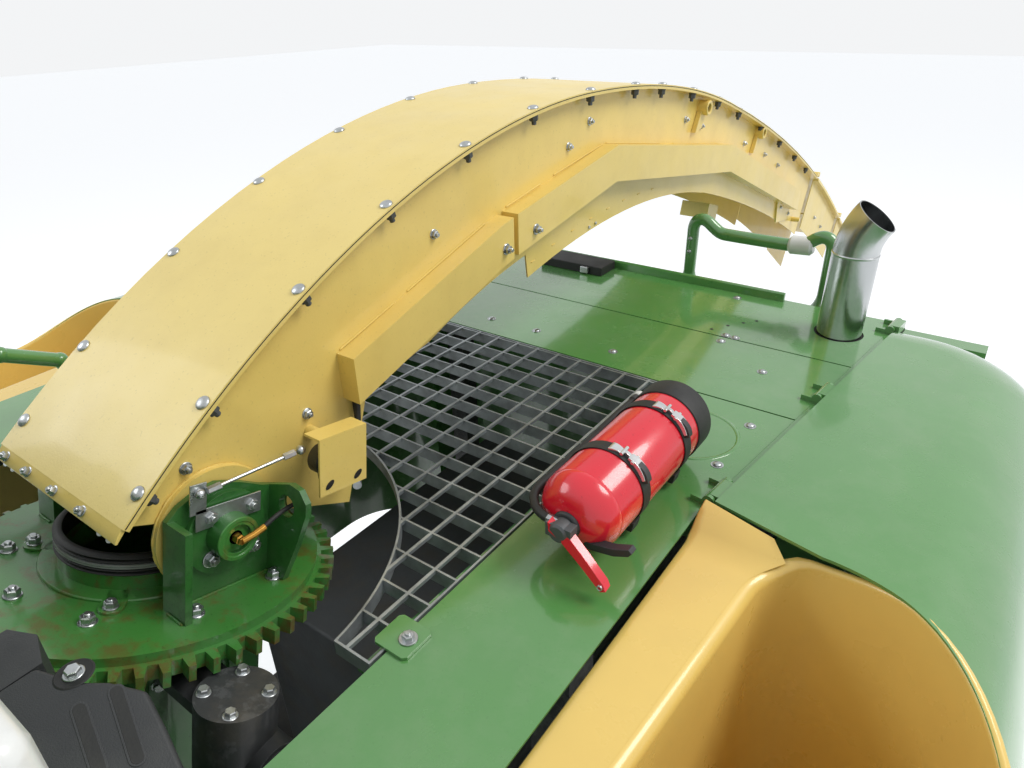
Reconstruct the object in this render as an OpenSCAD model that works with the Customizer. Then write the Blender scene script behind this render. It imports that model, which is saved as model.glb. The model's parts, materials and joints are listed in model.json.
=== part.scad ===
/* [Overall] */
// Height of the top deck above the ground
deck_z = 3200; // [3160:10:3260]
// Front face of the feed housing, measured from the slewing axis
front_s = -2800; // [-2850:10:-2760]
// Width over the side hoods
body_w = 2700; // [2640:10:2740]
/* [Wheels] */
// Outer diameter of a front tyre over its lugs
front_tyre_d = 1820; // [1790:10:1830]
// Width of a front tyre
front_tyre_w = 650; // [620:10:660]
// Diameter of a front rim at the bead seat
front_rim_d = 813; // [780:1:840]
// Distance between the front tyre centres
front_track = 2350; // [2330:10:2400]
// Front axle ahead of the slewing axis
front_axle_s = -950; // [-960:5:-940]
// Outer diameter of a rear tyre over its lugs
rear_tyre_d = 1410; // [1380:10:1420]
// Width of a rear tyre
rear_tyre_w = 540; // [500:10:550]
// Diameter of a rear rim at the bead seat
rear_rim_d = 711; // [680:1:740]
// Distance between the rear tyre centres
rear_track = 2360; // [2340:10:2400]
// Rear axle behind the slewing axis
rear_axle_s = 2150; // [2130:10:2170]
// Height of a tread lug
lug_h = 45; // [30:1:50]
// Thickness of a tread lug
lug_t = 52; // [40:1:60]
// Lugs in each row of a tyre
lug_n = 20; // [16:1:22]
// Half width of a wheel spindle's bearing seat, a radius
spindle_r = 70; // [55:1:75]
// Kingpin radius
kingpin_r = 28; // [22:1:32]
// Distance of a kingpin from the centre plane
kingpin_x = 860; // [850:1:870]
/* [Frame] */
// Distance of a frame rail's middle from the centre plane
rail_x = 420; // [416:1:424]
// Width of a frame rail
rail_w = 90; // [80:1:96]
// Underside of the frame rails above the ground
rail_z = 1060; // [1055:1:1070]
// Height of a frame rail
rail_h = 220; // [210:1:230]
// Front portal of the roof frame behind the slewing axis
portal_front = 300; // [290:5:310]
// Rear portal of the roof frame
portal_rear = 1650; // [1560:5:1650]
// Half width of the engine block
engine_x = 480; // [440:5:500]
// Length of the engine block
engine_len = 1080; // [1000:10:1120]
// Top of the engine block above the ground
engine_top = 2480; // [2400:10:2560]
// Length of a fuel tank
tank_len = 1080; // [980:10:1100]
// Height of a fuel tank
tank_h = 550; // [480:5:560]
// Width of a fuel tank
tank_w = 700; // [600:5:720]
// Size of a roof post
post = 80; // [60:1:90]
/* [Deck] */
// Thickness of the deck sheets
sheet = 4; // [3:0.5:6]
// Rear edge of the deck behind the slewing axis
deck_rear = 1761; // [1740:1:1790]
// Seam between the two deck sheets
seam_s = 1395; // [1370:1:1420]
// Gap between neighbouring sheets
sheet_gap = 5; // [3:1:8]
// Half width of the grating
grate_x = 533; // [500:1:536]
// Front edge of the grating
grate_front = 47; // [40:1:60]
// Rear edge of the grating
grate_rear = 1060; // [1040:1:1062]
// Mesh of the grating
mesh = 66.66; // [60:0.1:75]
// Depth of a bearing bar
bar_h = 28; // [24:1:32]
// Thickness of a bearing bar
bar_t = 4; // [3:0.5:5]
// Radius of the round cut-out that clears the slewing ring
cut_r = 460; // [440:1:480]
// Radius of the exhaust pipe
exhaust_r = 59; // [55:0.5:61]
// Radius of its bend
bend_r = 180; // [160:5:200]
// Angle of its bend, in degrees
bend_a = 35; // [25:1:40]
// Tube radius of the spout's rest
rest_r = 20; // [16:1:22]
// Radius of the fire extinguisher
ext_r = 75; // [70:1:76]
/* [Turret] */
// Lean of the slewing axis to the rear
tilt = 15; // [13:0.5:16]
// Ring plane's centre relative to the deck
ring_z = -35; // [-45:1:-25]
// Tooth tip radius of the slewing ring
ring_r = 332; // [326:1:336]
// Tooth height
tooth_h = 24; // [18:1:26]
// Number of teeth
tooth_n = 60; // [54:1:66]
// Thickness of the toothed ring
ring_t = 26; // [20:1:30]
// Outer radius of the fixed crop tower
tower_r = 200; // [190:1:206]
// Outer radius of the neck that the ring carries
neck_r = 135; // [125:1:150]
// Height of that neck above the ring plane
neck_h = 45; // [40:1:50]
// Height of the rubber collar on the neck
collar_h = 38; // [30:1:44]
// Height of the lift pivot above the ring plane
pivot_h = 128; // [126:1:134]
// Distance of that pivot behind the slewing axis, in the ring plane
pivot_y = 25; // [20:1:30]
// Radius of the pad on the spout's wall round the pivot
pad_r = 105; // [95:1:106]
// Radius of the bearing boss on a bracket
boss_r = 38; // [34:1:44]
// Radius of the lift pivot pin
pivot_r = 24; // [20:1:27]
// Inner face of a bracket plate from the centre plane
bracket_x = 183; // [183:1:186]
// Thickness of a bracket plate
bracket_t = 12; // [10:1:14]
// Pin radius of the spout's cylinder
ram_pin_r = 16; // [12:1:18]
/* [Spout] */
// Outer face of a spout wall from the centre plane
wall_x = 166; // [160:1:170]
// Thickness of a spout wall
wall_t = 4; // [3:0.5:6]
// Half width of the top plate
top_x = 201; // [196:1:205]
// Thickness of the top plate with its edge strips
top_t = 8; // [6:1:10]
// Height of the spout's highest point over the deck
apex_z = 641; // [620:1:660]
// Highest point of the spout behind the slewing axis
apex_s = 1220; // [1200:1:1240]
// Radius of the rising part of the spout
rise_r = 2100; // [2080:1:2120]
// Climb of the spout where it leaves the turret, in degrees
rise_a = 38.5; // [37.5:0.1:39]
// Radius of the first falling part
crown_r = 3600; // [3550:1:3650]
// Fall at the end of the first falling part, in degrees
crown_a = 15.5; // [15:0.1:16]
// Radius of the long tail
tail_r = 9500; // [9300:10:9700]
// Fall where the first flap begins, in degrees
flap_a = 24.9; // [24.5:0.1:25.2]
// Fall where the second flap begins, in degrees
tip_a = 30; // [29.5:0.1:30.5]
// Length of the second flap
tip_len = 476; // [440:1:500]
// Lowest corner of the spout's foot behind the slewing axis
foot_s = 338; // [320:1:360]
// Shield of the slewing sensor from the centre plane
shield_x = 262; // [261:1:270]
// Radius of a flap's hinge pin
pin_r = 8; // [6:0.5:8]
// Height of that hinge line above the top plate
hinge_h = 18; // [17:0.5:19]
// Depth of the spout's closed first part
duct_depth = 335; // [325:1:345]
// Radius of the lower edge of the middle part
lip_r = 2500; // [2460:10:2540]
// Height of that edge's highest point over the deck
lip_z = 282; // [276:1:288]
// Depth of the tail and of the flaps
tail_depth = 310; // [300:1:320]
// Height of the folded channel on the spout's wall
channel_h = 95; // [85:1:105]
// Distance that the channel stands out from the wall
channel_t = 46; // [40:1:50]
/* [Hoods] */
// Shoulder radius of a side hood
shoulder_r = 230; // [200:5:250]
// Plan radius of a hood's rear corner
corner_r = 350; // [320:5:380]
// Height of a hood's crown above the deck
hood_rise = 30; // [20:1:40]
// Lower edge of the side hoods above the ground
hood_low = 1600; // [1580:5:1640]
// Rear end of the side hoods
hood_rear = 1800; // [1790:1:1806]
// Thickness of the hood shell
hood_t = 6; // [4:1:8]
// Front end of the side hoods
hood_front = -40; // [-46:1:-34]
// Inner edge of the side hoods at their straight front part
edge_x = 793; // [790:1:796]
// Station where the inner edge starts to run outwards
edge_s = 650; // [630:5:670]
// Run of that edge outwards, in thousandths
edge_run = 120; // [115:1:122]
// Radius of the air scoop's round wall
scoop_r = 316; // [300:1:320]
// Middle of that wall from the centre plane
scoop_x = 1010; // [1000:1:1012]
// Middle of that wall behind the slewing axis
scoop_s = 290; // [286:1:296]
// Plateau of the scoop below the deck
scoop_drop = 15; // [10:1:20]
// Floor of the scoop above the ground
scoop_low = 2350; // [2300:10:2400]
// Gap from the hinge line to the hood's edge
skirt = 19; // [17:1:21]
// Half width of the tail body
tail_x = 1150; // [1140:5:1170]
// Rear face of the tail body behind the slewing axis
tail_rear = 2880; // [2850:5:2890]
// Top of the screen in the tail
screen_top = 2270; // [2200:5:2280]
/* [Cab] */
// Half width of the cab
cab_x = 800; // [790:1:810]
// Rear wall of the cab
cab_rear = -352; // [-360:1:-350]
// Underside of the cab floor
cab_low = 1880; // [1876:1:1884]
// Height where the rear wall starts to slant forward
slant_z = 2760; // [2740:5:2765]
// Foot of the slanted rear wall
slant_s = -640; // [-660:5:-636]
// Underside of the cab roof
roof_low = 3540; // [3500:5:3580]
// Top of the cab roof
roof_top = 3730; // [3700:5:3760]
// Plan radius of the windscreen
screen_r = 1300; // [1280:5:1320]
// Thickness of the cab wall
cab_t = 50; // [40:1:60]
// Glass thickness
glass_t = 6; // [4:1:8]
// Outer edge of the platforms from the centre plane
deck_x = 1480; // [1470:1:1500]
// Rise between two ladder steps
step_pitch = 290; // [280:1:300]
// Height of a mirror
mirror_h = 500; // [420:5:540]
// Width of a mirror
mirror_w = 220; // [180:5:240]
// Height of a roof lamp
lamp_h = 90; // [70:5:100]
/* [Feeding] */
// Half width of the feed channel inside its walls
feed_x = 360; // [340:1:365]
// Wall thickness of the feed housing
feed_t = 20; // [12:1:22]
// Drum axis height above the ground
drum_z = 1090; // [1085:1:1095]
// Drum axis ahead of the slewing axis
drum_s = -1480; // [-1485:1:-1475]
// Radius of the drum housing
drum_r = 380; // [370:1:384]

/* [Hidden] */
$fn = 96;
green = "#2c7a2f";
beige = "#ecd47e";
dark = "#2b2c2d";
steel = "#9a9d9f";
// Running clearance of a shaft in its bore, a radius
run = 0.05;
// Gap between pieces that are seated but not fastened
seat = 0.3;
// Free gap between bodies that move past each other
free = 6;
half_w = body_w / 2;
portal_s = [portal_front, portal_rear];
roof_x = 720;
rail_in = rail_x - rail_w / 2;
rail_out = rail_x + rail_w / 2;
rail_top = rail_z + rail_h;
front_r = front_tyre_d / 2;
rear_r = rear_tyre_d / 2;

// The spout's arcs run from heading to heading about their own centres
rise_c = [apex_s, apex_z - rise_r];
crown_c = [apex_s, apex_z - crown_r];
tail_c = crown_c + (crown_r - tail_r) * [sin(crown_a), cos(crown_a)];
function on_arc(c, r, a) = c + r * [sin(a), cos(a)];
flap_p = on_arc(tail_c, tail_r, flap_a);
tip_p = on_arc(tail_c, tail_r, tip_a);
end_p = tip_p + tip_len * [cos(tip_a), -sin(tip_a)];
// Where the slewing axis stands in the row's frame
slew_y = -(front_s + end_p[0]) / 2;

module place() {
  translate([0, slew_y, 0]) children();
}
module on_deck() {
  translate([0, 0, deck_z]) children();
}
// The ring's own frame: z along the slewing axis
module ring_frame() {
  place() on_deck() translate([0, 0, ring_z]) rotate([-tilt, 0, 0]) children();
}
module both_sides() {
  children();
  mirror([1, 0, 0]) children();
}
module block(x, s, z) {
  translate([x[0], s[0], z[0]]) cube([x[1] - x[0], s[1] - s[0], z[1] - z[0]]);
}
module prism_x(x, pts) {
  translate([x[0], 0, 0]) rotate([90, 0, 90]) linear_extrude(x[1] - x[0]) polygon(pts);
}
module prism_z(z, pts) {
  translate([0, 0, z[0]]) linear_extrude(z[1] - z[0]) polygon(pts);
}
module rod_x(x, p, r) {
  translate([x[0], p[0], p[1]]) rotate([0, 90, 0]) cylinder(h = x[1] - x[0], r = r);
}
module rod_y(x, s, z, r) {
  translate([x, s[0], z]) rotate([-90, 0, 0]) cylinder(h = s[1] - s[0], r = r);
}
module rod_z(x, s, z, r) {
  translate([x, s, z[0]]) cylinder(h = z[1] - z[0], r = r);
}
// Straight tube between two points
module bar(a, b, r) {
  d = b - a;
  translate(a) rotate([0, acos(d[2] / norm(d)), atan2(d[1], d[0])]) cylinder(h = norm(d), r = r);
}
// Tube through a table of points with round corners
module tube(pts, r) {
  for (i = [1 : len(pts) - 1])
    bar(pts[i - 1], pts[i], r);
  for (i = [1 : len(pts) - 2])
    translate(pts[i]) sphere(r + 2);
}
// A profile drawn as [radius, x] swept about a centre in the side view,
// from fall angle a0 to a1 behind the highest point
module sweep(c, a0, a1) {
  translate([0, c[0], c[1]]) rotate([0, 90, 0]) rotate([0, 0, 180 - a1])
    rotate_extrude(angle = a1 - a0, $fn = 360) children();
}

// Running gear

module main_frame() place() color(dark) {
  both_sides() {
    block([rail_in, rail_out], [-1250, 2860], [rail_z, rail_top]);
    for (s = [-1240, -740])
      block([rail_in + 10, rail_out - 10], [s, s + 80], [rail_top, cab_low]);
  }
  for (s = [-200, 300, 1700, rear_axle_s - 90, 2780])
    block([-rail_in, rail_in], [s, s + (s > 2000 && s < 2700 ? 180 : 80)], [rail_z, rail_z + 120]);
  hitch();
}
// Two portals and the upper rails that carry the deck
module roof_frame() place() color(dark) {
  for (s = portal_s) {
    block([-roof_x, roof_x], [s, s + post], [rail_top, rail_top + 120]);
    both_sides() block([roof_x - post, roof_x], [s, s + post], [rail_top + 119, deck_z - 84]);
  }
  both_sides() block([roof_x - post, roof_x], [cab_rear + 12, deck_rear - 6], [deck_z - 84, deck_z - sheet]);
}
// Rear towing jaw with its pin bore
module hitch() {
  difference() {
    block([-60, 60], [2860, 3000], [rail_z - 40, rail_z + 100]);
    block([-61, 61], [2890, 3001], [rail_z + 5, rail_z + 55]);
    rod_z(0, 2950, [rail_z - 41, rail_z + 101], 19);
  }
}

module engine_block() place() color("#55585a") {
  difference() {
    block([-engine_x, engine_x], [420, 420 + engine_len], [rail_top, engine_top]);
    for (x = [-engine_x - 1, engine_x - 79])
      block([x, x + 80], [419, 421 + engine_len], [engine_top - 100, engine_top + 1]);
  }
}

// Two rounded tanks hung on the outer faces of the rails
module fuel_tanks() place() color(dark) both_sides() {
  translate([rail_out, 0, 0]) rotate([90, 0, 90]) linear_extrude(tank_w)
    translate([60, rail_z + rail_h - 10 - tank_h]) rounded(tank_len, tank_h, 110);
}
module rounded(w, h, r) {
  translate([r, 0]) square([w - 2 * r, h]);
  translate([0, r]) square([w, h - 2 * r]);
  for (x = [r, w - r], y = [r, h - r])
    translate([x, y]) circle(r);
}

lift_a = [-1080, 760];
lift_b = [-2350, 850];
lift_pin_r = 25;
lift_x = 520;
module front_axle() place() color(dark) {
  rod_x([-700, 700], [front_axle_s, front_r], 130);
  both_sides() {
    block([rail_in, rail_out], [front_axle_s - 80, front_axle_s + 80], [front_r, rail_z]);
    rod_x([620, 740], [front_axle_s, front_r], 235);
    rod_x([740, 899], [front_axle_s, front_r], 150);
    rod_x([899, 1120], [front_axle_s, front_r], spindle_r);
    rod_x([lift_x - 22, lift_x + 62], lift_a, lift_pin_r);
    rod_x([lift_x + 50, lift_x + 62], lift_a, 50);
    prism_x([lift_x + 50, lift_x + 62], [[-1095, 712], [-900, 850], [-1000, 1000], [-1125, 780]]);
  }
}

module rear_axle() place() color(dark) {
  rod_x([-760, 760], [rear_axle_s, rear_r], 90);
  block([-200, 200], [rear_axle_s - 80, rear_axle_s + 80], [rear_r + 60, rail_z]);
  both_sides() difference() {
    union() {
      block([740, 780], [rear_axle_s - 70, rear_axle_s + 70], [rear_r - 150, rear_r + 150]);
      for (z = [-150, 100]) {
        block([760, kingpin_x], [rear_axle_s - 70, rear_axle_s + 70], [rear_r + z, rear_r + z + 50]);
        rod_z(kingpin_x, rear_axle_s, [rear_r + z, rear_r + z + 50], 70);
      }
    }
    rod_z(kingpin_x, rear_axle_s, [rear_r - 160, rear_r + 160], kingpin_r + run);
  }
}
module knuckle() {
  rod_z(kingpin_x, rear_axle_s, [rear_r - 150, rear_r + 150], kingpin_r);
  rod_z(kingpin_x, rear_axle_s, [rear_r - 94, rear_r + 94], 60);
  rod_x([kingpin_x, 989], [rear_axle_s, rear_r], 85);
  rod_x([989, 1120], [rear_axle_s, rear_r], spindle_r);
}
module knuckle_left() place() color(dark) knuckle();
module knuckle_right() place() color(dark) mirror([1, 0, 0]) knuckle();

// Wheels, drawn about the wheel's own axis with z outwards from the track centre
module rim(r, w, hub_in, disc) {
  half = w / 2;
  difference() {
    rotate_extrude() {
      translate([r - 22, -half]) square([22, w]);
      for (z = [-half, half - 22])
        translate([r - 22, z]) square([50, 22]);
      translate([150, disc]) square([r - 160, 22]);
      translate([spindle_r + run, hub_in]) square([190 - spindle_r, disc + 22 - hub_in]);
    }
    for (i = [0 : 9])
      rotate([0, 0, i * 36]) translate([r * 0.72, 0, disc - 1]) cylinder(h = 24, r = 26);
  }
}
// Section of a tyre: bead, bulging sidewall as an arc, shoulder and crown
function side_arc(r0, r1, x, b) =
  [for (i = [0 : 6]) [r0 + (r1 - r0) * i / 6, x + b * sin(180 * i / 6)]];
module tyre(r, w, rim_r, rim_w) {
  crown = r - lug_h;
  in_x = rim_w / 2 - 22 - seat;
  bead = rim_r + seat;
  edge = w / 2 * 0.86;
  side = side_arc(rim_r + 40, crown - 50, edge, w / 2 * 0.14);
  half = concat([[bead, in_x], [rim_r + 34, in_x]], side, [[crown - 12, edge - 30], [crown, w * 0.3]]);
  rotate_extrude()
    polygon(concat(half, [for (i = [len(half) - 1 : -1 : 0]) [half[i][0], -half[i][1]]]));
  intersection() {
    difference() {
      cylinder(h = w * 0.97, r = r, center = true);
      cylinder(h = w, r = crown - 60, center = true);
    }
    for (i = [0 : lug_n - 1], m = [0, 1])
      rotate([0, 0, (i + m / 2) * 360 / lug_n]) mirror([0, 0, m])
        translate([crown - 55, 0, -20]) rotate([42, 0, 0])
          translate([0, -lug_t / 2, 0]) cube([200, lug_t, w * 0.75]);
  }
}
rim_front_w = front_tyre_w - 70;
rim_rear_w = rear_tyre_w - 60;
module front_wheel_at() {
  place() translate([front_track / 2, front_axle_s, front_r]) rotate([0, 90, 0]) children();
}
module rear_wheel_at() {
  place() translate([rear_track / 2, rear_axle_s, rear_r]) rotate([0, 90, 0]) children();
}
module rim_front() front_wheel_at()
  rim(front_rim_d / 2, rim_front_w, 900 - front_track / 2, -75);
module rim_rear() rear_wheel_at()
  rim(rear_rim_d / 2, rim_rear_w, 990 - rear_track / 2, -80);
module tyre_front() front_wheel_at()
  tyre(front_r, front_tyre_w, front_rim_d / 2, rim_front_w);
module tyre_rear() rear_wheel_at()
  tyre(rear_r, rear_tyre_w, rear_rim_d / 2, rim_rear_w);
module rim_front_left() color("#d9d6c4") rim_front();
module rim_front_right() color("#d9d6c4") mirror([1, 0, 0]) rim_front();
module rim_rear_left() color("#d9d6c4") rim_rear();
module rim_rear_right() color("#d9d6c4") mirror([1, 0, 0]) rim_rear();
module tyre_front_left() color("#232324") tyre_front();
module tyre_front_right() color("#232324") mirror([1, 0, 0]) tyre_front();
module tyre_rear_left() color("#232324") tyre_rear();
module tyre_rear_right() color("#232324") mirror([1, 0, 0]) tyre_rear();

// Deck

// Inner edge of the hood in plan at a station, and the straight hinge line through its rear part
function hinge_line(s) = edge_x + (s - edge_s) * edge_run / 1000;
function edge(s) = s < edge_s ? edge_x : hinge_line(s);
hinge_a = atan(edge_run / 1000);
hinge_s = [700, 1200, 1700];
hinge_pin_r = 8;
hinge_z = 12;
module plan_strip(stations, in_x) {
  n = len(stations) - 1;
  prism_z([deck_z - sheet, deck_z], concat([[in_x, stations[0]]],
    [for (s = stations) [edge(s) - free, s]], [[in_x, stations[n]]]));
}
module at_hinge(s) {
  translate([hinge_line(s), s, deck_z + hinge_z]) rotate([0, 0, -hinge_a]) rotate([-90, 0, 0]) children();
}
// Hinge pin of a side hood between two eared plates on the deck
module hinge_pin(s) {
  at_hinge(s) {
    translate([0, 0, -39]) cylinder(h = 78, r = hinge_pin_r);
    for (z = [-39, 31])
      translate([0, 0, z]) {
        cylinder(h = 8, r = 12);
        translate([-36, 0, 0]) cube([36, hinge_z + 2, 8]);
      }
  }
}
module deck_sheets() place() color(green) {
  difference() {
    both_sides() {
      plan_strip([grate_rear + sheet_gap, seam_s], 0);
      plan_strip([seam_s + sheet_gap, deck_rear], 0);
    }
    rod_z(exhaust_x, exhaust_s, [deck_z - sheet - 1, deck_z + 1], exhaust_r + 6);
  }
  block([-600, 600], [deck_rear - sheet, deck_rear], [deck_z - 60, deck_z]);
  both_sides() {
    hinge_pin(hinge_s[1]);
    hinge_pin(hinge_s[2]);
  }
}
module deck_sides() place() color(green) both_sides() {
  plan_strip([cab_rear + 12, edge_s, grate_rear], grate_x + 5);
  block([grate_x + 5, grate_x + 9], [grate_front, grate_rear], [deck_z - bar_h - 6, deck_z - 2]);
  block([grate_x - 28, grate_x + 9], [grate_front, grate_rear], [deck_z - bar_h - 6, deck_z - bar_h]);
  hinge_pin(hinge_s[0]);
}

module grating() place() on_deck() color(steel) {
  difference() {
    union() {
      for (s = [grate_front : mesh : grate_rear])
        block([-grate_x, grate_x], [s, s + bar_t], [-bar_h, 0]);
      for (x = [-grate_x, grate_x - bar_t])
        block([x, x + bar_t], [grate_front, grate_rear], [-bar_h, 0]);
      block([-grate_x, grate_x], [grate_rear - bar_t, grate_rear], [-bar_h, 0]);
      for (i = [-8 : 7])
        block([i * mesh + 13, i * mesh + 19], [grate_front, grate_rear], [-7, 0]);
    }
    rod_z(0, 0, [-bar_h - 1, 1], cut_r);
  }
  difference() {
    rod_z(0, 0, [-bar_h, 0], cut_r + bar_t);
    rod_z(0, 0, [-bar_h - 1, 1], cut_r);
    block([-grate_x, grate_x], [-600, grate_front], [-bar_h - 1, 1]);
  }
}

// Crop path: drum housing, duct, blower housing and the leaning tower

drum_p = [drum_s, drum_z];
blow_p = [-600, 1500];
hub_r = 60;
module crop_tower() color(green) {
  place() {
    rod_x([-rail_in, rail_in], drum_p, drum_r);
    both_sides() rod_x([rail_in - 1, 402], drum_p, hub_r);
    prism_x([-280, 280], [drum_p + [0, 60], drum_p + [330, 60], [-640, 1290], [-640, 1760],
      [-860, 1680], drum_p + [0, 360]]);
    rod_x([-300, 300], blow_p, 280);
  }
  ring_frame() difference() {
    union() {
      translate([0, 0, -1760]) cylinder(h = 1752, r = tower_r);
      translate([0, 0, -ring_t - 30]) cylinder(h = 30 - seat, r = tower_r + 40);
    }
    translate([0, 0, -1500]) cylinder(h = 1560, r = tower_r - 8);
  }
}

module slew_drive() color(dark) {
  ring_frame() difference() {
    union() {
      translate([375, -70, -200]) cylinder(h = 200 - ring_t - free, r = 60);
      translate([180, -110, -ring_t - 50]) cube([200, 80, 20]);
    }
    translate([0, 0, -300]) cylinder(h = 400, r = tower_r + seat);
  }
  place() on_deck() for (i = [0 : 4])
    rod_x([375, 440 + i * 5], [-86, -150], i == 4 ? 36 : 38 + i % 2 * 5);
}
// Plan and front view of the plastic cover behind the cab
cover_plan = [[340, cab_rear + seat], [340, -268], [405, -246], [463, -206], [511, -216], [660, -253],
  [700, cab_rear + seat]];
cover_face = [[330, 30], [330, 175], [432, 175], [710, 58], [710, 30]];
module rear_cover() place() on_deck() color(dark) intersection() {
  prism_z([20, 180], cover_plan);
  translate([0, -200, 0]) rotate([90, 0, 0]) linear_extrude(200) polygon(cover_face);
}

// Turret: the toothed ring with its upper plate, brackets and collar

// Corners of a tooth as [share of the pitch, 1 at its tip]
tooth = [[-0.27, 0], [-0.15, 1], [0.15, 1], [0.27, 0]];
function tooth_pts(r0, r1, n) = [for (i = [0 : n - 1], k = tooth)
  let (a = (i + k[0]) * 360 / n, r = k[1] == 1 ? r1 : r0) [r * cos(a), r * sin(a)]];
module slew_ring() ring_frame() color(green) difference() {
  union() {
    translate([0, 0, -ring_t]) linear_extrude(ring_t) polygon(tooth_pts(ring_r - tooth_h, ring_r, tooth_n));
    cylinder(h = 15, r = ring_r - tooth_h - 8);
    cylinder(h = neck_h, r = neck_r);
  }
  translate([0, 0, -ring_t - 1]) cylinder(h = ring_t - 5, r = tower_r + 1);
  translate([0, 0, -7]) cylinder(h = neck_h + 10, r = neck_r - 8);
}
// The spout cylinder's lower eye in the ring's frame: back from the axis, above the ring plane
ram_a = [265, -13];
ram_b = [790, 250];
ram_x = 197;
eye_y = ram_a[0] * cos(tilt) - (ram_a[1] - ring_z) * sin(tilt);
eye_z = ram_a[0] * sin(tilt) + (ram_a[1] - ring_z) * cos(tilt);
// Side view of a bracket plate, and the rear flange seen from behind as [x, z]
bracket_side = [[-72, 15], [-72, 172], [-53, 192], [-21, 209], [12, 216], [53, 206], [96, 188], [124, 180], [124, 15]];
flange_rear = [[0, 15], [58, 15], [89, 95], [109, 160], [108, 181], [90, 200], [65, 203], [0, 180]];
flange_hole = [59, 160];
module turret_brackets() ring_frame() color(green) {
  both_sides() difference() {
    union() {
      prism_x([bracket_x, bracket_x + bracket_t], bracket_side);
      block([bracket_x, bracket_x + 62], [-72, -72 + bracket_t], [15, 172]);
      translate([bracket_x, 124, 0]) rotate([90, 0, 0]) linear_extrude(bracket_t) polygon(flange_rear);
      rod_x([bracket_x, bracket_x + bracket_t + 10], [pivot_y, pivot_h], 72);
      rod_x([bracket_x, bracket_x + 53], [pivot_y, pivot_h], boss_r);
    }
    rod_x([bracket_x - 1, bracket_x + 80], [pivot_y, pivot_h], pivot_r + run);
    rod_y(bracket_x + flange_hole[0], [100, 130], flange_hole[1], 20);
  }
  arm = -ram_x - 43;
  translate([arm, 113, eye_z - 30]) cube([14, eye_y - 113, 60]);
  rod_x([arm, arm + 14], [eye_y, eye_z], 30);
  rod_x([arm, arm + 57], [eye_y, eye_z], ram_pin_r);
}
module collar() ring_frame() color("#1d1e1f") difference() {
  translate([0, 0, neck_h]) cylinder(h = collar_h, r = neck_r + 5);
  translate([0, 0, neck_h - 1]) cylinder(h = collar_h + 2, r = neck_r - 10);
}

// Rams in the side view, drawn from eye p toward eye q
module ram_at(x, p, q) {
  translate([x, p[0], p[1]]) rotate([atan2(p[0] - q[0], q[1] - p[1]), 0, 0]) children();
}
module barrel(len, r, rod, eye, pin, w) {
  difference() {
    union() {
      translate([0, 0, eye * 0.8]) cylinder(h = len - eye * 0.8, r = r);
      rotate([0, 90, 0]) cylinder(h = w, r = eye, center = true);
    }
    rotate([0, 90, 0]) cylinder(h = w + 2, r = pin + run, center = true);
    translate([0, 0, len * 0.35]) cylinder(h = len, r = rod + run);
  }
}
module ram_rod(len, full, rod, eye, bore, w) {
  difference() {
    union() {
      translate([0, 0, len * 0.4]) cylinder(h = full - len * 0.4 - eye * 0.8, r = rod);
      translate([0, 0, full]) rotate([0, 90, 0]) cylinder(h = w, r = eye, center = true);
    }
    translate([0, 0, full]) rotate([0, 90, 0]) cylinder(h = w + 2, r = bore, center = true);
  }
}
lift_len = norm(lift_b - lift_a);
ram_len = norm(ram_b - ram_a);
module lift_barrels() place() color(dark) both_sides()
  ram_at(lift_x, lift_a, lift_b) barrel(760, 45, 22, 46, lift_pin_r, 34);
module lift_rods() place() color(steel) both_sides()
  ram_at(lift_x, lift_a, lift_b) ram_rod(760, lift_len, 22, 44, 26, 34);
module spout_barrel() place() on_deck() color(dark)
  ram_at(-ram_x, ram_a, ram_b) barrel(330, 24, 14, 30, ram_pin_r, 24);
module spout_rod() place() on_deck() color(steel)
  ram_at(-ram_x, ram_a, ram_b) ram_rod(330, ram_len, 14, 38, 26, 24);

// Spout

module wall_profile(r, depth, x) {
  for (m = [1, -1])
    scale([1, m]) {
      translate([r - depth, x - wall_t]) square([depth - top_t, wall_t]);
      translate([r - top_t - wall_t, x - wall_t]) square([wall_t, top_x - x + wall_t]);
    }
}
module strip_profile(r, x) {
  translate([r - top_t, -x]) square([top_t, 2 * x]);
}
// Long folded channel that stiffens the wall: stations and upper edge of its two lengths
channel_a = [[364, 272], [830, 407], [868, 414]];
channel_b = [[885, 418], [1349, 495], [2241, 358], [3280, -20]];
function station_on(a, b, s) = [s, a[1] + (b[1] - a[1]) * (s - a[0]) / (b[0] - a[0])];
// The second length reaches over the first part's wall as far as this station
channel_mid = station_on(channel_b[0], channel_b[1], 985);
module channel(t, in_x) {
  n = len(t) - 1;
  low = [for (i = [n : -1 : 0]) t[i] - [0, channel_h]];
  for (m = [0, 1])
    mirror([m, 0, 0]) prism_x([in_x, wall_x + channel_t], concat(t, low));
}
pivot_p = [pivot_y * cos(tilt) + pivot_h * sin(tilt), ring_z - pivot_y * sin(tilt) + pivot_h * cos(tilt)];
foot_p = [[-90, 172], [foot_s, 124 - 0.53 * foot_s], [421, 160], [640, 204]];
split_a = 7.9;
// Opening between spout and flap, as an angle on the tail's arc
gap_a = 24 / tail_r * 180 / PI;
// Seam between two top plates, as an angle
seam_a = 0.015;
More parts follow.
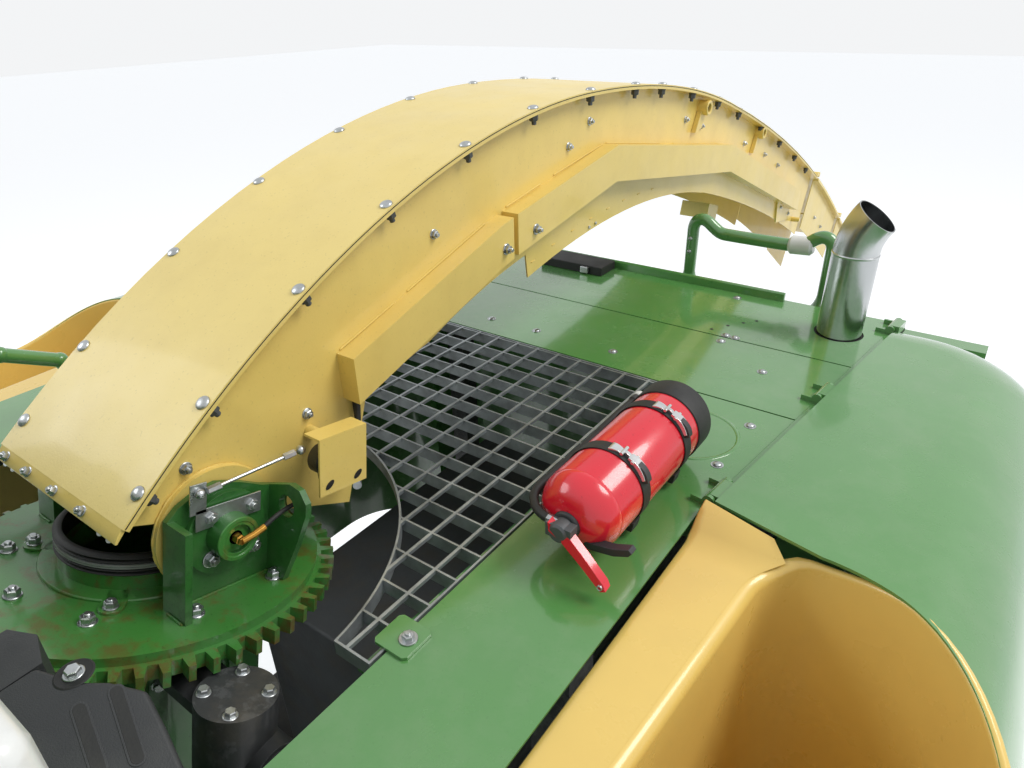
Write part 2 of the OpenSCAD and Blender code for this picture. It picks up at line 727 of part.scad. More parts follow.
// Side view of the closed part's wall: an arc-shaped band with the foot's skirt
module wedge(c, a0, a1, r) {
  translate(c) polygon([[0, 0], r * [sin(a0), cos(a0)], r * [sin(a1), cos(a1)]]);
}
module duct_side() {
  difference() {
    union() {
      intersection() {
        difference() {
          translate(rise_c) circle(rise_r - top_t, $fn = 360);
          translate(rise_c) circle(rise_r - duct_depth, $fn = 360);
        }
        wedge(rise_c, -rise_a, -split_a, rise_r * 1.1);
      }
      polygon([on_arc(rise_c, rise_r - top_t, -rise_a), foot_p[0], foot_p[1], foot_p[2],
        on_arc(rise_c, rise_r - 200, -25), on_arc(rise_c, rise_r - 100, -32)]);
    }
    polygon([foot_p[0], foot_p[1], foot_p[1] - [0, 300], foot_p[0] - [300, 550], foot_p[0] - [300, 0]]);
    polygon([foot_p[1], foot_p[2], foot_p[3], foot_p[3] - [0, 400], foot_p[1] - [0, 400]]);
  }
}
module spout_duct() place() on_deck() color(beige) {
  inner = wall_x - wall_t;
  both_sides() translate([inner, 0, 0]) rotate([90, 0, 90]) linear_extrude(wall_t) duct_side();
  sweep(rise_c, -rise_a, -split_a) for (x = [-top_x, wall_x])
    translate([rise_r - top_t - wall_t, x]) square([wall_t, top_x - wall_x]);
  prism_x([-inner, inner], [foot_p[1] + [0, 20], foot_p[2] + [2, 2], foot_p[3] + [0, 2],
    foot_p[3] + [0, wall_t + 2], foot_p[2] + [-wall_t, wall_t + 2], foot_p[1] + [-wall_t, 20]]);
  sweep(rise_c, -20, -split_a) translate([rise_r - duct_depth + 3, -inner]) square([wall_t, 2 * inner]);
  channel(channel_a, wall_x - 1);
  both_sides() {
    rod_x([wall_x - 1, wall_x + 12], pivot_p, pad_r);
    rod_x([wall_x, bracket_x + 45], pivot_p, pivot_r);
  }
  rod_x([-ram_x - 22, -wall_x + 1], ram_b, 12);
  sensor_shield();
}
// Folded shield over the slewing sensor, on a stay beside the foot
module sensor_shield() {
  prism_x([shield_x, shield_x + 4], [[222, 193], [327, 174], [309, 63], [203, 84]]);
  prism_x([shield_x - 36, shield_x + 1], [[222, 193], [327, 174], [326, 170], [221, 189]]);
  rod_x([wall_x - 1, shield_x + 1], [275, 150], 12);
}
module spout_tail() place() on_deck() color(beige) {
  difference() {
    union() {
      sweep(rise_c, -split_a, 0) wall_profile(rise_r, 460, wall_x);
      sweep(crown_c, 0, crown_a) wall_profile(crown_r, 460, wall_x);
      sweep(tail_c, crown_a, flap_a - gap_a) wall_profile(tail_r, tail_depth, wall_x);
    }
    rod_x([-300, 300], [1500, lip_z - lip_r], lip_r, $fn = 360);
  }
  channel([channel_b[0], channel_mid + [1, 0]], wall_x);
  channel([channel_mid, channel_b[1], channel_b[2], channel_b[3]], wall_x - 1);
  for (p = [[1996, 512], [2617, 346]])
    rod_x([-wall_x - 24, wall_x + 24], p, 18);
  both_sides() rod_x([wall_x - 1, wall_x + 40], [3380, -190], 12);
}
// Hinge line between two lengths of the spout; fixed side and swinging side
module hinge_at(p, a) {
  translate([0, p[0], p[1]]) rotate([-a, 0, 0]) children();
}
module fixed_eyes() {
  for (x = [[-top_x, -150], [-58, 58], [150, top_x]]) {
    rod_x(x, [0, hinge_h], 13);
    prism_x(x, [[-44, -1], [-44, 18], [0, 18], [0, 8], [-24, 8], [-24, -1]]);
  }
  rod_x([-top_x, top_x], [0, hinge_h], pin_r);
}
module swing_eyes() {
  for (m = [0, 1])
    mirror([m, 0, 0]) difference() {
      union() {
        rod_x([60, 148], [0, hinge_h], 13);
        prism_x([60, 148], [[4, -1], [34, -1], [34, 18], [0, 18], [0, 8], [4, 8]]);
      }
      rod_x([59, 149], [0, hinge_h], pin_r + run);
    }
}
// Three plates with a narrow seam between them
module spout_top_plate() place() on_deck() color(beige) {
  sweep(rise_c, -rise_a, -seam_a) strip_profile(rise_r, top_x);
  sweep(crown_c, 0, crown_a - seam_a) strip_profile(crown_r, top_x);
  sweep(tail_c, crown_a, flap_a - gap_a) strip_profile(tail_r, top_x);
  hinge_at(flap_p, flap_a) fixed_eyes();
}
// Flaps: wider than what they follow, hinged at the upper edge
flap_x = wall_x + free + wall_t;
tip_x = flap_x + free + wall_t;
flap_depth = tail_depth - 40;
module flap_first() place() on_deck() color(beige) {
  sweep(tail_c, flap_a + gap_a * 0.6, tip_a - gap_a) wall_profile(tail_r, flap_depth, flap_x);
  sweep(tail_c, flap_a + gap_a / 6, tip_a - gap_a) strip_profile(tail_r, top_x);
  hinge_at(flap_p, flap_a) swing_eyes();
  hinge_at(tip_p, tip_a) fixed_eyes();
}
module flap_second() place() on_deck() color(beige) hinge_at(tip_p, tip_a) {
  block([-top_x, top_x], [4, tip_len], [-top_t, 0]);
  both_sides() {
    block([tip_x - wall_t, tip_x], [14, tip_len], [-flap_depth, -top_t + 1]);
    block([tip_x - 1, top_x], [14, tip_len], [-top_t - wall_t, -top_t + 1]);
  }
  swing_eyes();
}
rest_x = [243, 690];
rest_s = deck_rear + 94;
// Raised corner of the rest as [x, z], from the post to the saddle
rest_bend = [[243, 160], [262, 188], [290, 180], [335, 146]];
module spout_rest() place() on_deck() color(green) {
  for (x = rest_x)
    translate([x, rest_s, -60]) cylinder(h = 50, r1 = 50, r2 = rest_r);
  tube([for (p = concat([[rest_x[0], -60]], rest_bend, [for (i = [3 : -1 : 0]) [rest_x[0] + rest_x[1] - rest_bend[i][0],
    rest_bend[i][1]]], [[rest_x[1], -60]])) [p[0], rest_s, p[1]]], rest_r);
}
exhaust_x = 797;
exhaust_s = 1601;
module exhaust_pipe() place() on_deck() color("#b9bcbd") {
  difference() {
    rod_z(exhaust_x, exhaust_s, [-300, 230], exhaust_r);
    rod_z(exhaust_x, exhaust_s, [-250, 231], exhaust_r - 3);
  }
  translate([exhaust_x + bend_r, exhaust_s, 230]) rotate([90, 0, 0]) rotate([0, 0, 180 - bend_a])
    rotate_extrude(angle = bend_a + 2) translate([bend_r, 0]) difference() {
      circle(exhaust_r - 1);
      circle(exhaust_r - 4);
    }
  block([720, exhaust_x - exhaust_r + 8], [exhaust_s - 20, exhaust_s + 20], [-74, -24]);
}

ext_x = 660;
ext_s = [430, 940];
ext_z = ext_r + 14;
module fire_extinguisher() place() on_deck() translate([ext_x, ext_s[0], ext_z]) rotate([-90, 0, 0]) {
  color("#c8201e") rotate_extrude() intersection() {
    union() {
      square([ext_r - 40, 100]);
      translate([0, 40]) square([ext_r, ext_s[1] - ext_s[0] - 40]);
      translate([ext_r - 40, 40]) circle(40);
    }
    square([100, 600]);
  }
  color("#c8201e") translate([0, 0, -36]) cylinder(h = 40, r = 20);
}
module extinguisher_bracket() place() on_deck() color("#222222") {
  block([ext_x - 30, ext_x + 30], [490, 960], [0, 13.7]);
  rod_y(ext_x, [ext_s[1] + seat, 994], ext_z, ext_r + 4);
  for (s = [560, 800])
    difference() {
      rod_y(ext_x, [s, s + 25], ext_z, ext_r + 4);
      rod_y(ext_x, [s - 1, s + 26], ext_z, ext_r + seat);
    }
}

// Side hoods and scoops

// Front view of what lies under the hood's skin, grown inwards by t
module hood_face(in_x, low, t) {
  top = deck_z + hood_rise;
  translate([in_x, low]) square([half_w - shoulder_r - in_x, top - t - low]);
  translate([in_x, low]) square([half_w - t - in_x, top - shoulder_r - low]);
  translate([half_w - shoulder_r, top - shoulder_r]) circle(shoulder_r - t);
}
// Body of revolution and extrusions behind the hood's outer surface
module hood_mass(t, low) {
  translate([0, hood_rear - corner_r, 0]) rotate([90, 0, 0])
    linear_extrude(hood_rear - corner_r - hood_front) hood_face(0, low, t);
  translate([half_w - corner_r, hood_rear - corner_r, 0]) rotate_extrude(angle = 90)
    intersection() {
      translate([corner_r - half_w, 0]) hood_face(0, low, t);
      square([corner_r, 5000]);
    }
  translate([0, hood_rear - half_w, 0]) rotate([90, 0, 90])
    linear_extrude(half_w - corner_r) hood_face(half_w - corner_r, low, t);
}
module beyond_hinge(gap, s0) {
  prism_z([hood_low - 100, deck_z + 400], [[hinge_line(s0) + gap, s0], [2000, s0],
    [2000, hood_rear + 100], [hinge_line(hood_rear + 100) + gap, hood_rear + 100]]);
}
// Everything that the scoop replaces: plateau and round niche
module scoop_space(r, grow) {
  prism_z([hood_low - 200, deck_z + 400], [[600, hood_front - 10], [scoop_x + grow, hood_front - 10],
    [scoop_x + grow, 606 + grow], [edge_x + 5, 650 + grow], [600, 690 + grow]]);
  rod_z(scoop_x, scoop_s, [scoop_low - 6 - grow, deck_z + 400], r);
}
module hood() {
  difference() {
    intersection() {
      hood_mass(0, hood_low);
      beyond_hinge(skirt, hood_front);
    }
    difference() {
      intersection() {
        hood_mass(hood_t, hood_low - 1);
        beyond_hinge(skirt + hood_t, hood_front);
      }
      block([850, half_w], [hood_front - 1, hood_front + hood_t], [hood_low, deck_z + 100]);
    }
    prism_z([hood_low - 1, deck_z - 18], [[600, hood_front - 1], [840, hood_front - 1], [840, 600],
      [hinge_line(hood_rear) + 60, hood_rear - 20], [600, hood_rear - 20]]);
    scoop_space(scoop_r + seat, seat);
  }
  for (s = hinge_s)
    at_hinge(s) difference() {
      union() {
        translate([0, 0, -30]) cylinder(h = 60, r = 12);
        translate([0, -12, -30]) cube([skirt + 2, 24, 60]);
      }
      translate([0, 0, -31]) cylinder(h = 62, r = hinge_pin_r + run);
    }
}
module hood_left() place() color(green) hood();
module hood_right() place() color(green) mirror([1, 0, 0]) hood();
// Where the scoop's outer part starts, behind the hood's front wall
scoop_front = hood_front + hood_t + seat;
module scoop() {
  top = deck_z - scoop_drop;
  difference() {
    union() {
      prism_z([top - 4, top], [[edge_x - 0.5, hood_front], [scoop_x, hood_front], [scoop_x, scoop_front],
        [1168, scoop_front], [1085, scoop_s], [scoop_x, 560], [scoop_x, 602], [798, 646], [edge_x - 0.5, 642]]);
      prism_z([scoop_low, top], [[1162, scoop_front], [1168, scoop_front], [1085, scoop_s], [scoop_x, 560],
        [scoop_x, 600], [scoop_x - 6, 600], [scoop_x - 6, 558], [1079, scoop_s]]);
      prism_z([top - 60, top], [[798, hood_front], [804, hood_front], [804, 646], [798, 646]]);
      intersection() {
        hood_mass(0, hood_low);
        prism_z([top - 4, deck_z + 60], [[798, 644], [scoop_x, 600], [scoop_x, 606], [798, 650]]);
      }
    }
  }
  intersection() {
    hood_mass(0, hood_low);
    difference() {
      rod_z(scoop_x, scoop_s, [scoop_low - 6, deck_z + 100], scoop_r);
      rod_z(scoop_x, scoop_s, [scoop_low, deck_z + 101], scoop_r - 6);
      block([0, scoop_x - 6], [-400, 900], [scoop_low - 100, deck_z + 102]);
    }
  }
}
module scoop_left() place() color(beige) scoop();
module scoop_right() place() color(beige) mirror([1, 0, 0]) scoop();

tail_front = hood_rear + 15;
door_pin = [1108, tail_rear + 24];
door_hinge_z = [1640, screen_top - 80];
module tail_body() place() color(green) {
  difference() {
    prism_x([-tail_x, tail_x], [[tail_front, 1480], [tail_front, deck_z - 60], [tail_front + 60, deck_z - 60],
      [tail_rear, 2640], [tail_rear, 1480]]);
    prism_x([-tail_x + 30, tail_x - 30], [[tail_front + 300, 1510], [tail_front + 300, 2900],
      [tail_rear - 30, 2600], [tail_rear - 30, screen_top - 20], [tail_rear + 1, screen_top - 20],
      [tail_rear + 1, 1510]]);
    prism_x([-tail_x + 30, tail_x - 30], [[tail_front - 1, 1510], [tail_front - 1, deck_z - 100],
      [tail_front + 60, deck_z - 100], [tail_front + 270, deck_z - 205], [tail_front + 270, 1510]]);
  }
  block([-rail_out, rail_out], [tail_front + 60, tail_rear - 20], [rail_top, 1480]);
  for (z = door_hinge_z) {
    rod_z(door_pin[0], door_pin[1], [z - 42, z + 42], pin_r);
    for (e = [z - 42, z + 31]) {
      rod_z(door_pin[0], door_pin[1], [e, e + 11], 13);
      block([door_pin[0] - 8, tail_x], [tail_rear - 2, door_pin[1]], [e, e + 11]);
    }
  }
}
module screen_door() place() color(dark) {
  difference() {
    block([-tail_x + 60, tail_x - 60], [tail_rear + free, tail_rear + free + 40], [1520, screen_top]);
    for (i = [0 : floor((screen_top - 1680) / 76)])
      translate([0, 0, i * 76])
        block([-tail_x + 140, tail_x - 140], [tail_rear, tail_rear + 60], [1600, 1640]);
  }
  for (z = door_hinge_z)
    difference() {
      union() {
        rod_z(door_pin[0], door_pin[1], [z - 30, z + 30], 13);
        block([tail_x - 61, door_pin[0]], [door_pin[1] - 8, door_pin[1] + 8], [z - 30, z + 30]);
      }
      rod_z(door_pin[0], door_pin[1], [z - 31, z + 31], pin_r + run);
    }
}

// Cab

module cab_plan(i) {
  intersection() {
    translate([-cab_x + i, -3000]) square([2 * (cab_x - i), 3000 + cab_rear - i]);
    union() {
      translate([0, -1000]) circle(screen_r - i, $fn = 180);
      translate([-cab_x, -1000]) square([2 * cab_x, 1000]);
    }
  }
}
cab_pin = [cab_x + 30, -948];
cab_hinge_z = [2200, 3300];
module cab_frame() place() color(green) {
  difference() {
    union() {
      translate([0, 0, cab_low]) linear_extrude(80) cab_plan(0);
      translate([0, 0, cab_low]) linear_extrude(roof_low - cab_low) difference() {
        cab_plan(0);
        cab_plan(cab_t);
      }
      prism_x([-cab_x, cab_x], [[cab_rear, slant_z], [slant_s, cab_low], [slant_s - cab_t, cab_low],
        [cab_rear - cab_t, slant_z]]);
    }
    prism_x([-cab_x - 1, cab_x + 1], [[cab_rear, slant_z], [slant_s, cab_low], [slant_s, cab_low - 1],
      [cab_rear + 1, cab_low - 1], [cab_rear + 1, slant_z]]);
    prism_z([2250, roof_low - 60], [[-730, -2400], [730, -2400], [730, -1600], [-730, -1600]]);
    block([cab_x - 100, cab_x + 1], [-1950, -980], [1960, roof_low - 60]);
    block([-cab_x - 1, -cab_x + 100], [-1950, -980], [2300, roof_low - 60]);
    block([-cab_x - 1, cab_x + 1], [-900, -480], [2560, roof_low - 60]);
    block([-710, 200], [cab_rear - 100, cab_rear + 1], [2780, roof_low - 60]);
  }
  for (z = cab_hinge_z) {
    rod_z(cab_pin[0], cab_pin[1], [z - 52, z + 52], 10);
    for (e = [z - 52, z + 41]) {
      rod_z(cab_pin[0], cab_pin[1], [e, e + 11], 16);
      block([cab_x - 1, cab_pin[0]], [cab_pin[1] - 10, cab_pin[1] + 10], [e, e + 11]);
    }
  }
}
module cab_roof() place() color("#dfe0dc") difference() {
  translate([0, 0, roof_low]) linear_extrude(roof_top - roof_low) union() {
    cab_plan(0);
    intersection() {
      cab_plan(-90);
      translate([-cab_x, -3000]) square([2 * cab_x, 1300]);
    }
  }
  translate([0, 0, roof_low - 1]) linear_extrude(roof_top - roof_low - 49) cab_plan(cab_t + 20);
}
module cab_glass() place() color("#88a0a8", 0.4) {
  translate([0, 0, 2240]) linear_extrude(roof_low - 2240 - 50) intersection() {
    difference() {
      cab_plan(-glass_t);
      cab_plan(0);
    }
    translate([-cab_x + 60, -3000]) square([2 * cab_x - 120, 1400]);
  }
  block([-cab_x - glass_t, -cab_x], [-1960, -970], [2290, roof_low - 50]);
  both_sides() block([cab_x, cab_x + glass_t], [-910, -470], [2550, roof_low - 50]);
  block([-720, 210], [cab_rear, cab_rear + glass_t], [2770, roof_low - 50]);
}
door_in = cab_x + free;
module door_frame() place() color(green) {
  difference() {
    block([door_in, door_in + 35], [-1960, -970], [1970, roof_low - 50]);
    block([cab_x, cab_x + 60], [-1900, -1030], [2300, roof_low - 110]);
  }
  for (z = cab_hinge_z)
    difference() {
      union() {
        rod_z(cab_pin[0], cab_pin[1], [z - 40, z + 40], 16);
        block([cab_pin[0] - 16, cab_pin[0]], [-971, cab_pin[1]], [z - 40, z + 40]);
      }
      rod_z(cab_pin[0], cab_pin[1], [z - 41, z + 41], 10 + run);
    }
}
module door_glass() place() color("#88a0a8", 0.4)
  block([door_in + 35, door_in + 35 + glass_t], [-1910, -1020], [2290, roof_low - 100]);
module driver_seat() place() color("#3a3b3c") {
  block([-200, 200], [-1200, -800], [cab_low + 80, cab_low + 300]);
  block([-250, 250], [-1270, -760], [cab_low + 300, cab_low + 430]);
  block([-230, 230], [-860, -740], [cab_low + 430, cab_low + 1130]);
  both_sides() block([250, 330], [-1180, -800], [cab_low + 330, cab_low + 560]);
}
module steering_console() place() color(dark) {
  rod_z(0, -1776, [cab_low + 80 + seat, cab_low + 100], 90);
  bar([0, -1776, cab_low + 98], [0, -1640, cab_low + 750], 45);
  translate([0, -1640, cab_low + 750]) rotate([-12, 0, 0]) {
    rotate_extrude() translate([190, 0]) circle(14);
    block([-190, 190], [-14, 14], [-6, 6]);
  }
}
// Standing areas over the wheels, the ladder on the left
module platforms() place() color(dark) {
  both_sides() block([cab_x, deck_x], [-1900, -440], [cab_low, cab_low + 20]);
  block([cab_x, 1440], [-2290, -1899], [cab_low, cab_low + 20]);
  for (x = [880, 1400])
    block([x, x + 20], [-2230, -2150], [430, cab_low + 1]);
  for (i = [0 : 4])
    block([880, 1420], [-2250, -2120], [450 + i * step_pitch, 476 + i * step_pitch]);
}
module handrails() place() color(green) {
  for (r = [[1455, -880], [-1455, -1880]])
    tube([[r[0], r[1], cab_low + 20], [r[0], r[1], 2760], [r[0], -520, 2760], [r[0], -520, cab_low + 20]], 18);
  tube([[-560, -290, deck_z], [-560, -290, deck_z + 215], [-560, 57, deck_z + 199],
    [-560, 163, deck_z + 142], [-560, 213, deck_z + 6]], 16);
}
module mirrors() place() color(dark) both_sides() {
  rod_x([cab_x, 1010], [-1990, 3330], 14);
  block([860, 860 + mirror_w], [-2070, -2020], [3400 - mirror_h, 3400]);
  block([950, 990], [-2021, -1985], [3310, 3350]);
}
module work_lamps() place() color("#e8e8e0") {
  both_sides() for (p = [[430, -2180], [620, -2100], [620, -480]])
    block([p[0], p[0] + 140], [p[1], p[1] + 60], [roof_top, roof_top + lamp_h]);
}

// Feeding

arm_x = feed_x + feed_t;
module feed_housing() place() color(dark) {
  difference() {
    union() {
      prism_x([-arm_x, arm_x], [[front_s + 80, 700], [front_s + 80, 1400], [drum_s - 300, 1500],
        [drum_s - 200, 800]]);
      block([-520, 520], [front_s, front_s + 80], [650, 1450]);
      both_sides() {
        rod_x([arm_x - 1, 480], lift_b, 45);
        rod_x([arm_x - 1, lift_x + 22], lift_b, 20);
      }
    }
    prism_x([-feed_x, feed_x], [[front_s - 1, 740], [front_s - 1, 1360], [drum_s - 100, 1460],
      [drum_s - 100, 830]]);
    rod_x([-arm_x - 1, arm_x + 1], drum_p, drum_r + 10);
    for (t = rolls)
      rod_x([-arm_x - 1, arm_x + 1], [t[0], t[1]], 25 + run);
  }
  both_sides() difference() {
    prism_x([arm_x - 1, arm_x + 19], [[-1930, 950], [-1930, 1300], [drum_s, drum_z + 100],
      [drum_s + 80, drum_z], [drum_s, drum_z - 100]]);
    rod_x([arm_x - 2, arm_x + 20], drum_p, hub_r + run);
    rod_x([arm_x - 2, arm_x], drum_p, drum_r + 10);
  }
}
// Rolls: station, height, radius over the bars
rolls = [[-2660, 890, 120], [-2620, 1190, 140], [-2380, 895, 100], [-2320, 1165, 120]];
module roll(t) {
  rod_x([-feed_x + 8, feed_x - 8], [t[0], t[1]], t[2] - 20);
  rod_x([-arm_x + 1, arm_x - 1], [t[0], t[1]], 25);
  for (i = [0 : 7])
    translate([0, t[0], t[1]]) rotate([i * 45, 0, 0]) block([-feed_x + 10, feed_x - 10], [-6, 6], [0, t[2]]);
}
module roll_lower_front() place() color(steel) roll(rolls[0]);
module roll_upper_front() place() color(steel) roll(rolls[1]);
module roll_lower_rear() place() color(steel) roll(rolls[2]);
module roll_upper_rear() place() color(steel) roll(rolls[3]);

main_frame();
roof_frame();
engine_block();
fuel_tanks();
front_axle();
rear_axle();
knuckle_left();
knuckle_right();
rim_front_left();
rim_front_right();
rim_rear_left();
rim_rear_right();
tyre_front_left();
tyre_front_right();
tyre_rear_left();
tyre_rear_right();
deck_sheets();
deck_sides();
grating();
crop_tower();
slew_drive();
rear_cover();
slew_ring();
turret_brackets();
collar();
spout_duct();
spout_tail();
spout_top_plate();
flap_first();
flap_second();
spout_rest();
exhaust_pipe();
fire_extinguisher();
extinguisher_bracket();
hood_left();
hood_right();
scoop_left();
scoop_right();
tail_body();
screen_door();
cab_frame();
cab_roof();
cab_glass();
door_frame();
door_glass();
driver_seat();
steering_console();
platforms();
handrails();
mirrors();
work_lamps();
feed_housing();
roll_lower_front();
roll_upper_front();
roll_lower_rear();
roll_upper_rear();
lift_barrels();
lift_rods();
spout_barrel();
spout_rod();
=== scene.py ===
import bpy
import bmesh
import json
import random
from math import atan2, cos, exp, pi, radians, sin, sqrt
from mathutils import Vector, Matrix

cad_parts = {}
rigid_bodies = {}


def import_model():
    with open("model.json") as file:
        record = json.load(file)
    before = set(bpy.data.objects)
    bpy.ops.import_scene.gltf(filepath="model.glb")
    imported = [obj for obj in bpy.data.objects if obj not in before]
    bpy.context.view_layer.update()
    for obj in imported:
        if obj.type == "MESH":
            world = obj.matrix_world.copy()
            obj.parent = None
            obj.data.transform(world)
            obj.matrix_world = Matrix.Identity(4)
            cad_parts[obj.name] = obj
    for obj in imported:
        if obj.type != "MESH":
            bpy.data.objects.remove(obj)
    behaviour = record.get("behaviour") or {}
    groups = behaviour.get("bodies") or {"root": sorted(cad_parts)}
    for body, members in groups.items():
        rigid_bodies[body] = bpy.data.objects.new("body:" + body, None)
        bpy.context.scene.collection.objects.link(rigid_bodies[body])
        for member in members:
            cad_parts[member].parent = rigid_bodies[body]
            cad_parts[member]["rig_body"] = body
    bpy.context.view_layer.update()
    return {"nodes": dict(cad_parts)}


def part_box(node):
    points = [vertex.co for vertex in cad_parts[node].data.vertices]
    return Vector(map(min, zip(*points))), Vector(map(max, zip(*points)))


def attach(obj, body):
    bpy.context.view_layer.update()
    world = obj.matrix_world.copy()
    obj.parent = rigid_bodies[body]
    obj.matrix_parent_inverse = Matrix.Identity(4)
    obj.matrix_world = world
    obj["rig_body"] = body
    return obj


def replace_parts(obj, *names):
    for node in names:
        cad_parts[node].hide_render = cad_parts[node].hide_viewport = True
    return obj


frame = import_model()
random.seed(7)

# Places: the slewing axis in the row frame, the deck above the ground, the ring's plane and lean
SLEW_Y, DECK, RING_Z, TILT = -1002.7608, 3200.0, -35.0, 15.0
BOTH = (1, -1)
SIDES = ((1, "left"), (-1, "right"))


def mm(x, y, z):
    """A vector given in mm."""
    return Vector((x / 1000, y / 1000, z / 1000))


def P(x, s, z):
    """A point in mm: across, behind the slewing axis, above the deck."""
    return mm(x, s + SLEW_Y, z + DECK)


def G(x, s, z):
    """The same with z above the ground."""
    return mm(x, s + SLEW_Y, z)


RING = Matrix.Translation(P(0, 0, RING_Z)) @ Matrix.Rotation(radians(-TILT), 4, "X")
ON_DECK = P(0, 0, 0)
ON_GROUND = G(0, 0, 0)
UP = Vector((0, 0, 1))
RING_UP = RING.to_3x3() @ UP


def RP(x, y, z):
    """A point in the ring's own frame."""
    return RING @ mm(x, y, z)


# Materials
BLACK = [0, 0, 0, 1]


def linear(code):
    parts = [int(code[i:i + 2], 16) / 255 for i in (1, 3, 5)]
    return [v / 12.92 if v < 0.04045 else ((v + 0.055) / 1.055) ** 2.4 for v in parts] + [1]


def shade(colour, factor):
    return [min(1, v * factor) for v in colour[:3]] + [1]


class Tree:
    """Short calls for one node tree."""

    def __init__(self, owner):
        owner.use_nodes = True
        self.nodes, self.links = owner.node_tree.nodes, owner.node_tree.links

    def put(self, node, values):
        """Gives inputs their value, or a link where the value is another node's output."""
        for key, value in values.items():
            if isinstance(value, bpy.types.NodeSocket):
                self.links.new(value, node.inputs[key])
            else:
                node.inputs[key].default_value = value

    def new(self, kind, values, **fields):
        node = self.nodes.new("ShaderNode" + kind)
        for key, value in fields.items():
            setattr(node, key, value)
        self.put(node, values)
        return node

    def ramp(self, factor, low, high):
        """Colours between two (position, colour) stops."""
        node = self.new("ValToRGB", {"Fac": factor})
        for stop, (position, colour) in zip(node.color_ramp.elements, (low, high)):
            stop.position = position
            stop.color = colour
        return node.outputs["Color"]

    def mask(self, factor, low, high, strength=1):
        return self.ramp(factor, (low, BLACK), (high, [strength] * 3 + [1]))

    def mix(self, factor, a, b, way="MIX"):
        node = self.new("Mix", {}, data_type="RGBA", blend_type=way)
        self.put(node, {0: factor, 6: a, 7: b})
        return node.outputs[2]


def mat(name, colour, rough=0.4, metal=0.0, coat=0.0, var=0.06, scale=2.5, peel=0.0, peel_scale=260,
        dust=None, dust_scale=9, wear=None, rust=0.0, rough_var=0.08, speck=0.0, bump=0.0, bump_scale=60):
    """A surface with varied colour and relief. Dust and worn edges are pairs (how much, colour)."""
    material = bpy.data.materials.new(name)
    tree = Tree(material)
    surface = tree.nodes["Principled BSDF"]
    base = linear(colour)
    place = tree.new("TexCoord", {}).outputs["Object"]

    def noise(size, detail=4, roughness=0.55):
        values = {"Vector": place, "Scale": size, "Detail": detail, "Roughness": roughness}
        return tree.new("TexNoise", values).outputs["Fac"]

    seen = tree.ramp(noise(scale), (0.3, shade(base, 1 - var)), (0.7, shade(base, 1 + var)))
    if dust:
        much, tint = dust
        seen = tree.mix(tree.mask(noise(dust_scale, 7, 0.65), 0.46, 0.72, much), seen, linear(tint))
    if speck:
        seen = tree.mix(tree.mask(noise(170, 2, 0.5), 0.66, 0.7, speck), seen, shade(base, 0.35))
    if wear:
        edges = tree.mask(tree.new("NewGeometry", {}).outputs["Pointiness"], 0.51, 0.57)
        patches = tree.mask(noise(38, 6, 0.7), 0.47, 0.6)
        worn = tree.mix(1, edges, patches, "MULTIPLY")
        much, tint = wear
        seen = tree.mix(tree.mask(worn, 0.2, 0.8, much), seen, linear(tint))
    if rust:
        seen = tree.mix(tree.mask(noise(14, 8, 0.7), 0.5, 0.62, rust), seen, linear("#6d3417"))
    values = {"Base Color": seen, "Metallic": metal, "Coat Weight": coat, "Coat Roughness": 0.08}
    low, high = max(0.03, rough - rough_var), min(1, rough + rough_var)
    spread = {"Value": noise(7, 6, 0.6), "From Min": 0.3, "From Max": 0.7, "To Min": low, "To Max": high}
    values["Roughness"] = tree.new("MapRange", spread).outputs["Result"]
    for size, strength, depth in ((peel_scale, peel, 0.0006), (bump_scale, bump, 0.003)):
        if strength:
            grain = noise(size, 3, 0.5)
            relief = tree.new("Bump", {"Strength": strength, "Distance": depth, "Height": grain})
            if "Normal" in values:
                tree.put(relief, {"Normal": values["Normal"]})
            values["Normal"] = relief.outputs["Normal"]
    tree.put(surface, values)
    return material


GREEN = mat("green_paint", "#568f4b", 0.24, coat=1.0, peel=0.12, dust=(0.2, "#8aa07c"),
            speck=0.12, rough_var=0.1)
GREEN_D = mat("green_frame", "#2f6a2c", coat=0.4, var=0.12, peel=0.3, dust=(0.35, "#66705a"),
              wear=(0.4, "#1c3d1a"), speck=0.4)
GREEN_RING = mat("green_ring", "#3f7f36", 0.36, coat=0.5, var=0.12, peel=0.3, dust=(0.2, "#5f6b4c"),
                 wear=(0.55, "#6b4022"), rust=0.5, speck=0.4)
BEIGE = mat("beige_paint", "#e6ce7c", 0.42, coat=0.2, var=0.05, peel=0.3, dust=(0.2, "#c9ae66"), speck=0.18)
BEIGE_SIDE = mat("beige_wall", "#e6ca70", 0.36, coat=0.3, peel=0.25, dust=(0.2, "#c4a457"), speck=0.16)
BEIGE_PL = mat("beige_plastic", "#e9c76c", 0.3, coat=0.35, var=0.05, peel=0.12, dust=(0.1, "#c7ab62"))
DARK = mat("dark_paint", "#2f3132", 0.5, coat=0.1, var=0.15, peel=0.3, dust=(0.45, "#655e50"),
           wear=(0.3, "#77797a"))
CAST = mat("grey_casting", "#55585a", 0.6, metal=0.4, var=0.2, bump=0.4, dust=(0.5, "#5f5748"))
TANK = mat("tank_plastic", "#222425", 0.55, var=0.1, peel=0.5, peel_scale=420, dust=(0.4, "#5a5448"))
RIM = mat("rim_paint", "#e2e2dc", 0.38, coat=0.3, var=0.05, peel=0.2, dust=(0.35, "#8c8270"))
RUBBER = mat("tyre_rubber", "#242424", 0.78, var=0.18, bump=0.5, bump_scale=90, dust=(0.55, "#6f6452"),
             dust_scale=5)
GALV = mat("galvanised", "#a2a8aa", 0.45, metal=0.75, var=0.22, scale=22, dust=(0.4, "#5d605e"),
           dust_scale=16, bump=0.15, bump_scale=120)
